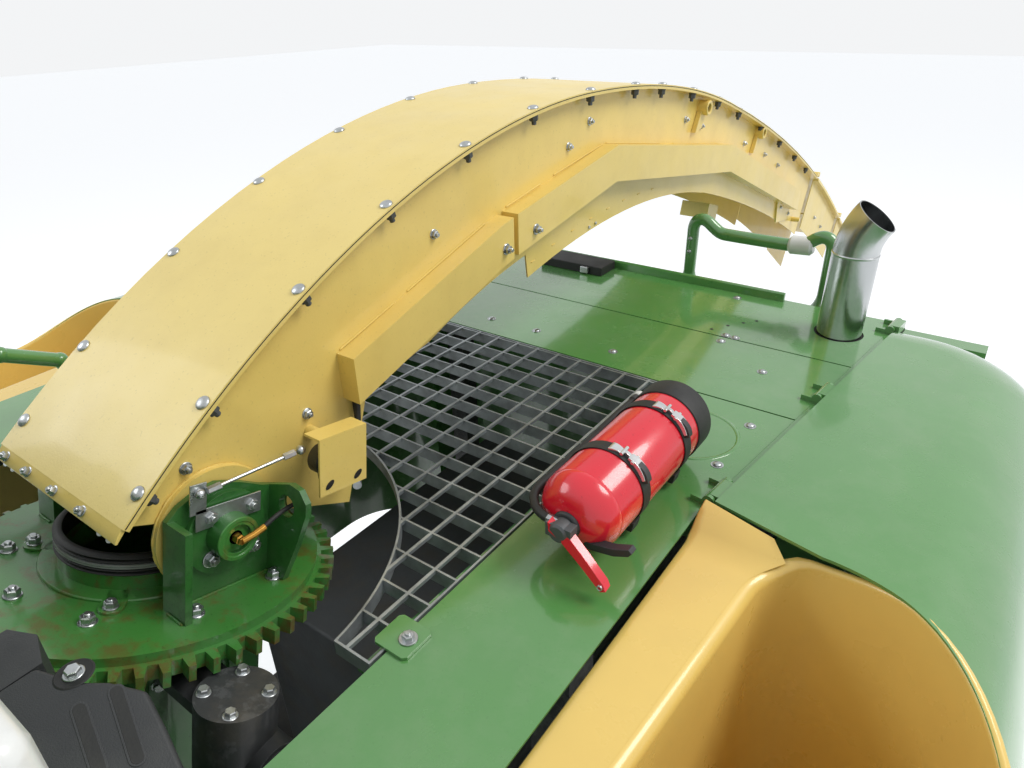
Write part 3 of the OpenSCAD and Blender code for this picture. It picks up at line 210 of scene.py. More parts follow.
PLASTIC = mat("black_plastic", "#2a2c2e", 0.5, var=0.12, peel=0.6, peel_scale=520, dust=(0.22, "#5b5c58"))
BLACK_R = mat("black_rubber", "#191a1a", 0.6, var=0.15, peel=0.4, dust=(0.3, "#494742"))
STEEL = mat("steel_tube", "#b9bcbd", 0.2, metal=1.0, var=0.08, scale=14, rough_var=0.1, bump=0.05,
            bump_scale=200)
ZINC = mat("zinc", "#b4b8ba", 0.3, metal=0.9, var=0.15, scale=60, rough_var=0.12, dust=(0.3, "#8c8672"),
           dust_scale=50)
RED = mat("red_paint", "#e01b30", 0.24, coat=0.7, var=0.05, peel=0.12, dust=(0.08, "#9d3a3a"), speck=0.2)
WHITE = mat("roof_plastic", "#e4e5e1", 0.35, coat=0.3, var=0.04, peel=0.2, dust=(0.25, "#a59c88"))
FABRIC = mat("seat_fabric", "#3b3d40", 0.92, var=0.14, scale=40, bump=0.9, bump_scale=900, rough_var=0.04)
LAMP = mat("lamp_plastic", "#d9dcdc", 0.12, var=0.04, coat=0.6, bump=0.4, bump_scale=140)
BRASS = mat("brass", "#b98a3e", 0.32, metal=0.9, var=0.15, scale=80)
# Near black, used as painted shade: in the spout's edge seam, the shield's slots, the eye tubes and the
# deck's gap round the exhaust
PAINTED_SHADE = mat("soot", "#191715", 0.85, var=0.3, scale=30, bump=0.3)
GREY_BAND = mat("grey_band", "#8d8f8e", 0.5, var=0.1, dust=(0.3, "#9a8c72"))
# Dark green: painted shade in the gap along each hood
HOOD_GAP_SHADE = mat("sealant", "#24381f", 0.7, var=0.2)
LENS = mat("lens", "#eef0ee", 0.08, coat=0.8, var=0.03, bump=0.5, bump_scale=170)
MIRROR = mat("mirror_face", "#c9cdd0", 0.04, metal=1.0, var=0.02, rough_var=0.02)
CLASP = mat("polished_clasp", "#d7d8d8", 0.16, metal=1.0, var=0.1, scale=40)
LAMP_RED = mat("lamp_red", "#8f1014", 0.1, coat=0.8, var=0.05, bump=0.5, bump_scale=180)

GLASS = bpy.data.materials.new("window_glass")
pane = Tree(GLASS)
pane_place = pane.new("TexCoord", {}).outputs["Object"]
smears = pane.new("TexNoise", {"Vector": pane_place, "Scale": 3}).outputs["Fac"]
pane_rough = pane.new("MapRange", {"Value": smears, "To Min": 0.01, "To Max": 0.12}).outputs["Result"]
pane.put(pane.nodes["Principled BSDF"], {"Base Color": linear("#8fa39b"), "Roughness": pane_rough,
                                         "Transmission Weight": 0.92, "IOR": 1.1, "Alpha": 0.55})

NODE_MATERIALS = {
    GREEN: "deck_sheets deck_sides hood_left hood_right tail_body spout_rest handrails cab_frame door_frame",
    GREEN_D: "front_axle rear_axle knuckle_left knuckle_right crop_tower turret_brackets",
    GREEN_RING: "slew_ring",
    BEIGE: "spout_top_plate flap_first flap_second",
    BEIGE_SIDE: "spout_duct spout_tail",
    BEIGE_PL: "scoop_left scoop_right",
    DARK: "main_frame roof_frame platforms feed_housing lift_barrels spout_barrel screen_door mirrors "
          "slew_drive extinguisher_bracket",
    CAST: "engine_block",
    TANK: "fuel_tanks",
    RIM: "rim_front_left rim_front_right rim_rear_left rim_rear_right",
    RUBBER: "tyre_front_left tyre_front_right tyre_rear_left tyre_rear_right",
    GALV: "grating",
    PLASTIC: "rear_cover steering_console",
    BLACK_R: "collar",
    STEEL: "exhaust_pipe lift_rods spout_rod roll_lower_front roll_upper_front roll_lower_rear "
           "roll_upper_rear",
    RED: "fire_extinguisher",
    WHITE: "cab_roof",
    GLASS: "cab_glass door_glass",
    FABRIC: "driver_seat",
    LAMP: "work_lamps",
}
for material, names in NODE_MATERIALS.items():
    for node in names.split():
        slots = frame["nodes"][node].data.materials
        slots.clear()
        slots.append(material)


# Mesh tools
def grid(rows, cols, closed=True):
    """Quads between rows of points; closed also joins the ends of each row."""
    last = cols if closed else cols - 1
    return [(j * cols + i, j * cols + (i + 1) % cols, (j + 1) * cols + (i + 1) % cols, (j + 1) * cols + i)
            for j in range(rows - 1) for i in range(last)]


def frame_to(place, z, x=None):
    """Matrix at place with its z axis along z, and its x axis near x."""
    z = Vector(z).normalized()
    if x is None:
        x = (1, 0, 0) if abs(z.x) < 0.9 else (0, 1, 0)
    x = Vector(x)
    x = (x - z * x.dot(z)).normalized()
    return Matrix.Translation(place) @ Matrix((x, z.cross(x), z)).transposed().to_4x4()


def smooth_path(points, steps=8):
    """Points of a Catmull-Rom curve through a short list."""
    p = [Vector(q) for q in points]
    p = [p[0] * 2 - p[1]] + p + [p[-1] * 2 - p[-2]]
    path = []
    for a, b, c, d in zip(p, p[1:], p[2:], p[3:]):
        for j in range(steps):
            t = j / steps
            bend = (2 * a - 5 * b + 4 * c - d) * t * t + (3 * b - a - 3 * c + d) * t ** 3
            path.append(0.5 * (2 * b + (c - a) * t + bend))
    return path + [p[-2]]


def curve(where, places):
    """A smooth path through places given to P, G or RP."""
    return smooth_path([where(*place) for place in places])


def circle(radius, count, start=0.0):
    """Points (x, y) on a circle in mm."""
    turns = [radians(start + 360 * i / count) for i in range(count)]
    return [(radius * cos(a), radius * sin(a)) for a in turns]


def stadium(half_len, half_w, steps=8):
    """Outline of a slot with round ends, in mm."""
    turns = [-pi / 2 + pi * i / steps for i in range(steps + 1)]
    right = [(half_len + half_w * cos(a), half_w * sin(a)) for a in turns]
    return right + [(-x, -y) for x, y in right]


def add_bevel(thing, width, segments, angle):
    edge = thing.modifiers.new("bevel", "BEVEL")
    edge.width = width / 1000
    edge.segments = segments
    edge.limit_method = "ANGLE"
    edge.angle_limit = radians(angle)
    edge.harden_normals = True


def smooth_shade(mesh, angle=35):
    mesh.shade_smooth()
    mesh.set_sharp_from_angle(angle=radians(angle))


def new_object(name, data):
    thing = bpy.data.objects.new(name, data)
    bpy.context.scene.collection.objects.link(thing)
    return thing


class Build:
    """Collects the faces of one object in the row frame. Sizes are in mm, points in metres."""

    def __init__(self, name, materials, body="chassis", smooth=35):
        self.name, self.body, self.smooth = name, body, smooth
        self.materials = materials if isinstance(materials, list) else [materials]
        self.points, self.faces, self.slots = [], [], []

    def add(self, points, faces, slot=0, at=None):
        """Faces between points; at is a matrix, or a place that the points are counted from."""
        start = len(self.points)
        if isinstance(at, Vector):
            at = Matrix.Translation(at)
        self.points += [at @ Vector(p) if at else Vector(p) for p in points]
        self.faces += [tuple(i + start for i in face) for face in faces]
        self.slots += [slot] * len(faces)

    def sweep(self, rows, slot=0, at=None):
        """A skin over closed rows of points, with a face at each end."""
        count, cols = len(rows), len(rows[0])
        ends = [tuple(range(cols))[::-1], tuple(range((count - 1) * cols, count * cols))]
        self.add([p for row in rows for p in row], grid(count, cols) + ends, slot, at)

    def lathe(self, profile, at, steps=24, slot=0):
        """A turned form: (radius, height) round the z axis."""
        rows = [[mm(x, y, height) for x, y in circle(radius, steps)] for radius, height in profile]
        self.add([p for row in rows for p in row], grid(len(rows), steps), slot, at)

    def box(self, low, high, slot=0, at=None):
        xs, ys, zs = zip(low, high)
        corners = [mm(x, y, z) for x in xs for y in ys for z in zs]
        faces = [(0, 1, 3, 2), (4, 6, 7, 5), (0, 4, 5, 1), (2, 3, 7, 6), (0, 2, 6, 4), (1, 5, 7, 3)]
        self.add(corners, faces, slot, at)

    def prism(self, outline, low, high, slot=0, at=None):
        """An outline of (x, y) run along z."""
        self.sweep([[mm(x, y, z) for x, y in outline] for z in (low, high)], slot, at)

    def slab(self, corners, thick, slot=0):
        """A plate between corner points and the same points moved by the vector thick."""
        n = len(corners)
        faces = grid(2, n) + [tuple(range(n))[::-1], tuple(range(n, 2 * n))]
        self.add(list(corners) + [p + thick for p in corners], [face[::-1] for face in faces], slot)

    def tube(self, path, radius, steps=12, slot=0):
        """A round tube; radius is one size or one for each point of the path."""
        radii = radius if isinstance(radius, list) else [radius] * len(path)
        rows, x = [], None
        for i, p in enumerate(path):
            along = (path[min(i + 1, len(path) - 1)] - path[max(i - 1, 0)]).normalized()
            x = along.orthogonal() if x is None else x - along * x.dot(along)
            x = x.normalized()
            y = along.cross(x)
            rows.append([p + x * (u / 1000) + y * (v / 1000) for u, v in circle(radii[i], steps)])
        self.sweep(rows, slot)

    def bead(self, points, radius=3.0, step=9.0):
        """A weld: small overlapping drops along a line."""
        for p, q in zip(points, points[1:]):
            n = 2 * max(1, int((q - p).length * 1000 / step))
            path = [p + (q - p) * i / n for i in range(n + 1)]
            self.tube(path, [radius * (1.0 if i % 2 else 0.72) for i in range(n + 1)], 6)

    def bolt(self, place, way, sizes, slot=0):
        """A hexagon head turned at random, with a washer on its seat and its thread's end."""
        flats, height, washer, thick, thread = sizes
        at = frame_to(place, way)
        if washer:
            rim = [(0, 0), (washer, 0), (washer, thick * 0.7), (washer - 0.8, thick), (0, thick)]
            self.lathe(rim, at, 20, slot)
        corner = flats / 2 / cos(pi / 6)
        start = random.uniform(0, 60)
        rows = [[mm(x, y, z) for x, y in circle(corner * part, 6, start)]
                for part, z in ((1, thick), (1, thick + height * 0.82), (0.86, thick + height))]
        self.add([p for row in rows for p in row], grid(3, 6) + [tuple(range(12, 18))], slot, at)
        if thread:
            top = thick + height + thread
            tip = [(flats * 0.29, thick + height - 1), (flats * 0.29, top - 1), (flats * 0.24, top), (0, top)]
            self.lathe(tip, at, 12, slot)

    def side_bolts(self, side, x, places, sizes, slot=0):
        """Bolts that look outwards, at places (behind, above) on one side's wall."""
        for s, z in places:
            self.bolt(P(side * x, s, z), (side, 0, 0), sizes, slot)

    def dome(self, place, way, radius, height, slot=0):
        """A round bolt head."""
        arc = [(radius * cos(a), 0.8 + height * sin(a)) for a in (0.3, 0.6, 0.9, 1.2, 1.45)]
        self.lathe([(radius, 0), (radius, 0.8)] + arc + [(0, 0.8 + height)], frame_to(place, way), 20, slot)

    def done(self, slot=None, bevel=0, segments=2, subdivide=0):
        mesh = bpy.data.meshes.new(self.name)
        mesh.from_pydata(self.points, [], self.faces)
        for material in self.materials:
            mesh.materials.append(material)
        mesh.polygons.foreach_set("material_index", self.slots)
        work = bmesh.new()
        work.from_mesh(mesh)
        bmesh.ops.remove_doubles(work, verts=work.verts, dist=1e-6)
        bmesh.ops.recalc_face_normals(work, faces=work.faces)
        work.to_mesh(mesh)
        work.free()
        smooth_shade(mesh, self.smooth)
        thing = new_object(self.name, mesh)
        if bevel:
            add_bevel(thing, bevel, segments, 40)
        if subdivide:
            finer = thing.modifiers.new("sub", "SUBSURF")
            finer.levels = finer.render_levels = subdivide
        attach(thing, self.body)
        return thing


# CAD nodes shown with their edges rounded: width in mm and material slot
ROUNDED = {
    "turret_brackets": (2.0, "green_paint"),
    "spout_top_plate": (1.5, "beige_paint"),
    "engine_block": (12, "grey_casting"),
    "fuel_tanks": (8, "tank_plastic"),
    "cab_roof": (16, "roof_plastic"),
    "mirrors": (8, "black_plastic"),
    "work_lamps": (8, "lamp_plastic"),
    "rear_cover": (6, "black_plastic"),
    "slew_drive": (2.5, "dark_paint"),
}
for node, (width, slot) in ROUNDED.items():
    source = frame["nodes"][node]
    mesh = source.data.copy()
    mesh.name = node + "_rounded"
    if "custom_normal" in mesh.attributes:
        mesh.attributes.remove(mesh.attributes["custom_normal"])
    work = bmesh.new()
    work.from_mesh(mesh)
    bmesh.ops.remove_doubles(work, verts=work.verts, dist=2e-5)
    bmesh.ops.dissolve_limit(work, angle_limit=radians(0.8), verts=work.verts, edges=work.edges)
    work.to_mesh(mesh)
    work.free()
    smooth_shade(mesh)
    thing = new_object(mesh.name, mesh)
    add_bevel(thing, width, 2, 32)
    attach(thing, source["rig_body"])
    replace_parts(thing, node)

# Bolt heads: width over flats, height, washer radius, washer thickness, length of thread that shows
EDGE_NUT = (19, 13, 12, 2.2, 9)
WALL_BOLT = (15, 7, 11, 2, 5)
CHANNEL_BOLT = (17, 9, 13, 2.5, 7)
SMALL_BOLT = (8, 4, 0, 0, 0)
LIP_BOLT = (13, 8, 9, 1.6, 3)
TAIL_BOLT = (18, 9, 13, 2.4, 5)
FLAP_BOLT = (15, 7, 11, 2, 4)
RING_BOLT = (20, 11, 14, 2.6, 4)
PAD_BOLT = (18, 10, 12, 2.4, 3)
BOSS_BOLT = (19, 10, 15, 2.6, 4)
TOWER_BOLT = (15, 7, 11, 2, 0)
MOTOR_BOLT = (15, 8, 11, 2, 0)
COVER_BOLT = (16, 7, 12, 2, 0)
CLAMP_BOLT = (17, 8, 15, 2.6, 3)
WHEEL_NUT = (27, 16, 19, 3, 9)

# Extinguisher: its real length, at the front end of the CAD solids
EXT_X, EXT_Z, EXT_R = 660.0, 89.0, 75.0
SEAM_S, BODY_LEN, CAP_LEN = 430.0, 311.0, 58.0
CAP_END = BODY_LEN + CAP_LEN
DOME = [(16, -50), (30, -49.5), (47, -44), (60, -34), (69, -21), (74, -8), (75, -1)]
BODY = DOME + [(74.2, 0.6), (75, 2.2), (EXT_R, BODY_LEN)]
FOOT_CAP = [(75, BODY_LEN - 4), (77.6, BODY_LEN - 3), (78, BODY_LEN), (78, CAP_END - 6), (75, CAP_END),
            (0, CAP_END)]
NECK = [(25, -47), (25, -53), (22, -56), (16, -56), (16, -50)]
BOTTLE = frame_to(P(EXT_X, SEAM_S, EXT_Z), (0, 1, 0), (0, 0, 1))


def on_bottle(along, angle, radius):
    """A point round the bottle: along its axis, angle from the top towards the left side."""
    a = radians(angle)
    return P(EXT_X + radius * sin(a), SEAM_S + along, EXT_Z + radius * cos(a))


bottle = Build("extinguisher_bottle", [RED, BLACK_R, PLASTIC], smooth=50)
bottle.lathe(BODY, BOTTLE, 64)
bottle.lathe(FOOT_CAP, BOTTLE, 64, 1)
bottle.lathe(NECK, BOTTLE, 36, 2)
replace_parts(bottle.done("red_paint"), "fire_extinguisher")

STRAPS, STRAP_W, STRAP_T = (72, 242), 26.0, 3.0
# Clasp parts: first and last angle, first and last width, height, material
CLASP_PARTS = [(2, 18, 22, 14, 5, 1), (18, 31, 8, 8, 8, 1), (29, 62, 17, 20, 10, 1),
               (40, 66, 13, 15, 12.5, 2)]
CLASP_PINS = (20, 36)
BRACKET_PLATE = [(-34, 40), (34, 40), (34, 300), (-34, 300)]
straps = Build("extinguisher_straps", [BLACK_R, CLASP, PLASTIC])
for at in STRAPS:
    low, high, middle = EXT_R + 0.4, EXT_R + STRAP_T, at + STRAP_W / 2
    straps.sweep([[on_bottle(at, a, low), on_bottle(at, a, high), on_bottle(at + STRAP_W, a, high),
                   on_bottle(at + STRAP_W, a, low)] for a in range(-128, 129, 8)])
    for a0, a1, w0, w1, height, slot in CLASP_PARTS:
        rows = []
        for i in range(7):
            a, half = a0 + (a1 - a0) * i / 6, (w0 + (w1 - w0) * i / 6) / 2
            top = high + height * (0.55 + 0.45 * sin(pi * (i + 1) / 8))
            rows.append([on_bottle(middle - half, a, EXT_R + 2), on_bottle(middle - half, a, top),
                         on_bottle(middle + half, a, top), on_bottle(middle + half, a, EXT_R + 2)])
        straps.sweep(rows, slot)
    for a in CLASP_PINS:
        pin = on_bottle(at + 1, a, EXT_R + 9)
        straps.tube([pin, pin + mm(0, 24, 0)], 3.4, 12, 1)
    foot = [P(EXT_X + x, SEAM_S + at, z) for x, z in ((-58, 14), (58, 14), (62, 34), (-62, 34))]
    straps.slab(foot, mm(0, STRAP_W, 0))
straps.slab([P(EXT_X + x, SEAM_S + s, 0.4) for x, s in BRACKET_PLATE], mm(0, 0, 13.6), 2)
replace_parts(straps.done("black_rubber", bevel=0.8), "extinguisher_bracket")

VALVE_S = SEAM_S - 63  # where the hose leaves the valve
VALVE_BODY = [(15, -50), (15, -54), (18, -56), (18, -78), (14, -82), (0, -82)]
LEVER = [(646, -84, 92), (640, -78, 104), (672, -76, 96), (716, -84, 66), (752, -90, 38), (758, -92, 28),
         (748, -93, 24), (712, -88, 50), (668, -82, 78)]
GRIP = [(652, 62), (662, 72), (700, 66), (742, 74), (770, 86), (776, 80), (770, 72), (744, 60), (700, 52),
        (664, 52)]
valve = Build("extinguisher_valve", [CAST, RED, PLASTIC, ZINC])
valve.lathe(VALVE_BODY, BOTTLE, 28)
valve.box((-12, -24, -78), (14, 24, -56), 0, BOTTLE)
valve.tube([P(650, VALVE_S, 95), P(631, VALVE_S, 97)], 9.5, 8, 3)
valve.slab([P(x, SEAM_S + s, z) for x, s, z in LEVER], mm(0, 16, 2), 1)
valve.slab([P(x, SEAM_S - 46, z) for x, z in GRIP], mm(0, 17, 0), 2)
lever_eye = frame_to(P(747, SEAM_S - 94, 32), (0, 1, 0))
valve.lathe([(5, 0), (5, 19.5), (3, 19.5), (3, 0), (5, 0)], lever_eye, 16, 3)
valve.done("red_paint", bevel=2.2, segments=3)

# Its hose: out of the valve to the right, round one bend and back along the bottle
HOSE_D, BEND_R, HOSE_X, HOSE_Z, HOSE_END = 16.0, 66.0, 573.0, 97.0, SEAM_S + 352.0
BEND_X, BEND_S = HOSE_X + BEND_R, VALVE_S + BEND_R
NOZZLE_RING = [(9.2, 0), (10.4, 2), (10.4, 16), (9.4, 18)]
NOZZLE_TIP = [(9.4, 18), (11, 20), (11.5, 30), (9, 36), (5, 38), (4, 34), (0, 34)]
hose_path = [P(BEND_X + 4, VALVE_S, HOSE_Z)]
for i in range(9):
    a = radians(90 * i / 8)
    hose_path.append(P(BEND_X - BEND_R * sin(a), BEND_S - BEND_R * cos(a), HOSE_Z + 2 * i / 8))
for i in range(1, 15):
    s = BEND_S + (HOSE_END - BEND_S) * i / 14
    hose_path.append(P(HOSE_X + 2 * sin(i * 0.45), s, 99 + 1.5 * sin(i * 0.6)))
hose = Build("extinguisher_hose", BLACK_R)
hose.tube(hose_path, HOSE_D / 2, 20)
hose = hose.done("black_rubber")
tip = Build("extinguisher_nozzle", [PLASTIC, WHITE])
way = (hose_path[-1] - hose_path[-2]).normalized()
tip_at = frame_to(hose_path[-1] - way * 0.004, way)
tip.lathe(NOZZLE_RING, tip_at)
tip.lathe(NOZZLE_TIP, tip_at, 24, 1)
tip = tip.done("black_plastic")

# Spout: three tangent arcs make its upper surface
WALL_X, TOP_X, FRONT_EDGE, APEX_S, APEX_Z = 166.0, 201.0, -87.0, 1220.0, 641.0
RISE_R, CROWN_R, TAIL_R, CROWN_A = 2100.0, 3600.0, 9500.0, radians(15.5)
RISE = (APEX_S, APEX_Z - RISE_R, RISE_R)
CROWN = (APEX_S, APEX_Z - CROWN_R, CROWN_R)
TAIL = (APEX_S + (CROWN_R - TAIL_R) * sin(CROWN_A),
        APEX_Z - CROWN_R + (CROWN_R - TAIL_R) * cos(CROWN_A), TAIL_R)
TAIL_FROM = APEX_S + CROWN_R * sin(CROWN_A)


def spout_top(x, s, drop=0.0):
    """A point of the spout's upper surface or below it, and the way out of that surface."""
    mid_s, mid_z, radius = RISE if s < APEX_S else CROWN if s < TAIL_FROM else TAIL
    z = mid_z + sqrt(radius ** 2 - (s - mid_s) ** 2)
    out = Vector((0, (s - mid_s) / radius, (z - mid_z) / radius))
    return P(x, s - drop * out.y, z - drop * out.z), out


EDGE_BOLTS = [-46, 84, 292, 511, 745, 986, 1238, 1480, 1650, 1880, 2110, 2330, 2610, 2900, 3177, 3420]
domes = Build("spout_round_bolts", ZINC, "spout")
nuts = Build("spout_edge_nuts", [ZINC, CAST], "spout")
for s in EDGE_BOLTS:
    for x in (-185, 185):
        place, out = spout_top(x, s)
        domes.dome(place, out, 12.5, 5.5)
        place, out = spout_top(x, s, 12)
        nuts.bolt(place, -out, EDGE_NUT, 1)
domes.done("steel_tube")

# Places on the spout's walls: behind the slewing axis, above the deck; the first two on the left only
WALL_BOLTS = [(39, 204), (277, 186), (652, 424), (1169, 515), (1270, 562), (1884, 488), (2020, 450),
              (2481, 323), (2760, 235), (2972, 153)]
CHANNEL_BOLTS, CHANNEL_T = [(837, 350), (956, 366)], 46
SMALL_BOLTS = [(1282, 284), (1317, 287)]
walls = Build("spout_wall_bolts", ZINC, "spout")
for sx in BOTH:
    walls.side_bolts(sx, WALL_X, WALL_BOLTS if sx > 0 else WALL_BOLTS[2:], WALL_BOLT)
    walls.side_bolts(sx, WALL_X + CHANNEL_T, CHANNEL_BOLTS, CHANNEL_BOLT)
    walls.side_bolts(sx, WALL_X, SMALL_BOLTS, SMALL_BOLT)
walls.done("steel_tube")
nuts.done("steel_tube")

# The seam along the doubled edge of the top sheets, drawn as a thin near-black tube: painted shade in the
# seam
seam = Build("spout_edge_seam", PAINTED_SHADE, "spout")
for x in (-TOP_X - 0.3, TOP_X + 0.3):
    seam.tube([spout_top(x, s, 4)[0] for s in range(-86, 3610, 41)], 0.9, 5)
seam.done()

# The folded lip along the front edge, with bolts through it from above and below
LIP_PROFILE = [(-2, 0), (10, -1.5), (20, -3.5), (25, -6.5), (23, -9.5), (12, -8.5), (-2, -8)]
LIP_BOLTS, LOWER_LIP_BOLTS = (-165, -85, 5, 95), (-172, -145, 145, 172)
lip_up = spout_top(0, FRONT_EDGE)[1]
lip_out = Vector((0, -lip_up.z, lip_up.y))


def on_lip(x, out, up):
    return spout_top(x, FRONT_EDGE)[0] + (lip_out * out + lip_up * up) / 1000


lip = Build("spout_front_lip", BEIGE_SIDE, "spout")
lip.sweep([[on_lip(x, out, up) for out, up in LIP_PROFILE] for x in (-198, -150, -75, 0, 75, 150, 198)])
lip.done("beige_paint", bevel=1.5)
lip_bolts = Build("spout_lip_bolts", ZINC, "spout")
for x in LIP_BOLTS:
    lip_bolts.bolt(on_lip(x, 12, -1.5), lip_up, LIP_BOLT)
for x in LOWER_LIP_BOLTS:
    lip_bolts.bolt(on_lip(x, 20, -11), -lip_up, LIP_BOLT)
lip_bolts.done("steel_tube")

# Weld beads along the channel, round the pivot pad and above the middle part's lower edge
CHANNEL_WELDS = [((372, 277), (520, 319)), ((560, 331), (820, 406)), ((900, 425), (1040, 449)),
                 ((1100, 459), (1340, 495)), ((1360, 495), (1700, 443)), ((1800, 427), (2200, 366))]
PAD_S, PAD_Z, PAD_WELD_R = 57.3, 82.2, 105.5
LIP_R, LIP_S, LIP_Z = 2500.0, 1500.0, 282.0
weld = Build("spout_welds", BEIGE_SIDE, "spout")
for sx in BOTH:
    for ends in CHANNEL_WELDS:
        weld.bead([P(sx * (WALL_X + 1), s, z) for s, z in ends], 2.2)
    turns = [radians(18 * i) for i in range(-2, 14)]
    weld.bead([P(sx * (WALL_X + 3), PAD_S + PAD_WELD_R * cos(a), PAD_Z + PAD_WELD_R * sin(a))
               for a in turns], 2.5)
for s in range(1000, 1760, 95):
    z = LIP_Z - LIP_R + sqrt(LIP_R ** 2 - (s - LIP_S) ** 2)
    weld.bead([P(WALL_X + 0.5, s, z + 32), P(WALL_X + 0.5, s + 16, z + 33)], 2.0, 6)
weld.done("beige_paint")

# Lifting eyes on the walls: short tubes, each with a plate below it
EYES = [(1996, 512), (2617, 346)]
EYE_PLATE = [(-24, -8), (-60, -72), (-10, -62), (22, -14)]
eyes = Build("spout_lifting_eyes", [BEIGE_SIDE, PAINTED_SHADE], "spout")
for s, z in EYES:
    for sx in BOTH:
        at = frame_to(P(sx * (WALL_X + 22), s, z), (sx, 0, 0))
        eyes.lathe([(14, 0), (14, 12), (21, 14), (24, 12), (24, -22)], at, 28)
        # A near-black disc set into each tube: painted shade inside it
        eyes.lathe([(14, 3), (0, 3)], at, 28, 1)
        eyes.slab([P(sx * (WALL_X + 1), s + ds, z + dz) for ds, dz in EYE_PLATE], mm(sx * 16, 0, 0))
eyes.done("beige_paint", bevel=1.2)

# Slots in the sensor's shield, and the link rod between it and the turret
SHIELD_FACE, SLOT_PLACES = 266.3, [(227, 98), (291, 84)]
SLOT_STRETCH = Matrix.Diagonal((1.8, 1, 1, 1))
shield = Build("shield_holes", PAINTED_SHADE, "spout")
for s, z in SLOT_PLACES:
    at = frame_to(P(SHIELD_FACE, s, z), (1, 0, 0), (0, 1, 0.5)) @ SLOT_STRETCH
    # Each slot is a near-black disc on the shield's face: painted shade in the slot
    shield.lathe([(6, 0), (6, 0.4), (0, 0.4)], at, 20)
shield.done()
BALL_R = 8.5
BALL = [(0, -8)] + [(BALL_R * sin(a), -BALL_R * cos(a)) for a in
                    [radians(18 * i) for i in range(1, 10)]] + [(0, BALL_R)]
rod = Build("sensor_link", [STEEL, ZINC], "turret")
rod_from, rod_to = P(228, 208, 168), RP(215, -30, 217)
along = (rod_to - rod_from).normalized()
rod.tube([rod_from + along * 0.02, rod_to - along * 0.02], 3.2)
for place, way in ((rod_from, along), (rod_to, -along)):
    rod.tube([place + way * 0.012, place + way * 0.034], 6.2, 6, 1)
    rod.lathe(BALL, frame_to(place, (1, 0, 0)), 18, 1)
rod.done("steel_tube")

SENSOR = [(0, 0), (26, 0), (28, 3), (28, 26), (25, 30), (12, 31), (12, 44), (0, 44)]
THICK_CABLE = [(215, 262, 82), (222, 300, 62), (214, 345, 70), (186, 372, 110), (176, 388, 170),
               (172, 392, 230)]
THIN_CABLE = [(232, 292, 52), (226, 322, 40), (205, 352, 60), (178, 378, 118), (172, 384, 176)]
loom = Build("sensor_and_loom", [BLACK_R, PLASTIC, ZINC], "spout")
sensor_at = frame_to(P(205, 258, 118), (1, 0, 0))
loom.lathe(SENSOR, sensor_at, 28, 1)
loom.box((-14, -46, 6), (14, -20, 24), 1, sensor_at)
for cable, radius in ((THICK_CABLE, 6), (THIN_CABLE, 4.5)):
    loom.tube(curve(P, cable), radius, 10)
for k, slot in enumerate((2, 1, 1)):
    plug = P(250 - k * 14, 298 + k * 12, 46 - k * 3)
    loom.tube([plug, plug + mm(-12, 10, -2)], 9 - k * 1.5, 12, slot)
loom.done(bevel=0.8)

# Plates and bolts at the tail's end, the block below the tail and the flaps' bolts
TAIL_BOLTS = [(3110, -68), (3180, -38), (3260, -132)]
TAIL_PLATE = [(3050, -28), (3290, -108), (3310, -168), (3070, -133)]
FLAPS = [("flap_first", 176, 3900, -330), ("flap_second", 186, 4500, -640)]
tail = Build("spout_tail_fittings", [BEIGE_SIDE, ZINC], "spout")
for sx in BOTH:
    tail.side_bolts(sx, WALL_X, TAIL_BOLTS, TAIL_BOLT, 1)
    tail.slab([P(sx * (WALL_X + 0.3), s, z) for s, z in TAIL_PLATE], mm(sx * 8, 0, 0))
tail.box((-60, -55, 0), (60, 55, 62), 0, frame_to(P(0, 2520, 60), (0, -0.3, -1), (1, 0, 0)))
tail.done("beige_paint", bevel=2)
for flap, x, s, z in FLAPS:
    flap_bolts = Build(flap + "_bolts", ZINC, flap)
    for sx in BOTH:
        flap_bolts.side_bolts(sx, x, ((s - 90, z + 48), (s + 90, z - 48)), FLAP_BOLT)
    flap_bolts.done("steel_tube")

# Turret: bolts, disc and welds on the ring
RING_BOLTS = [(-142, -163), (-142, -124), (-1, -211), (139, -165), (227, -43), (221, 108), (-227, -43),
              (-221, 108), (-75, 226), (85, 222)]
RING_FACE, WELD_Z, WELD_X, DISC_R = 15.0, 16.0, 197.0, 134.0
ring_bolts = Build("ring_bolts", ZINC, "turret")
for x, y in RING_BOLTS:
    ring_bolts.bolt(RP(x, y, RING_FACE), RING_UP, RING_BOLT)
ring_bolts.done("steel_tube")
disc = Build("ring_disc", [GREEN_RING, ZINC], "turret")
disc.lathe([(DISC_R, 15), (DISC_R, 20), (163, 20), (165, 18), (165, 15)], RING, 72)
for sx in BOTH:
    for sy in BOTH:
        turn = Matrix.Rotation(atan2(sy, sx), 4, "Z")
        disc.prism(stadium(16, 19), 15, 20, 0, RING @ Matrix.Translation(mm(sx * 118, sy * 114, 0)) @ turn)
        disc.bolt(RP(sx * 131, sy * 127, 20), RING_UP, PAD_BOLT, 1)
for sx in BOTH:
    disc.bead([RP(sx * WELD_X, -70, WELD_Z), RP(sx * WELD_X, 122, WELD_Z)], 3.2)
    disc.bead([RP(sx * 240, -74, WELD_Z), RP(sx * WELD_X, -74, WELD_Z)], 2.8)
    disc.bead([RP(sx * WELD_X, 127, WELD_Z), RP(sx * 238, 127, WELD_Z)], 2.8)
disc.bead([RP(x, y, WELD_Z) for x, y in circle(DISC_R + 3, 60)], 2.4, 12)
disc.done("green_paint", bevel=1.2)

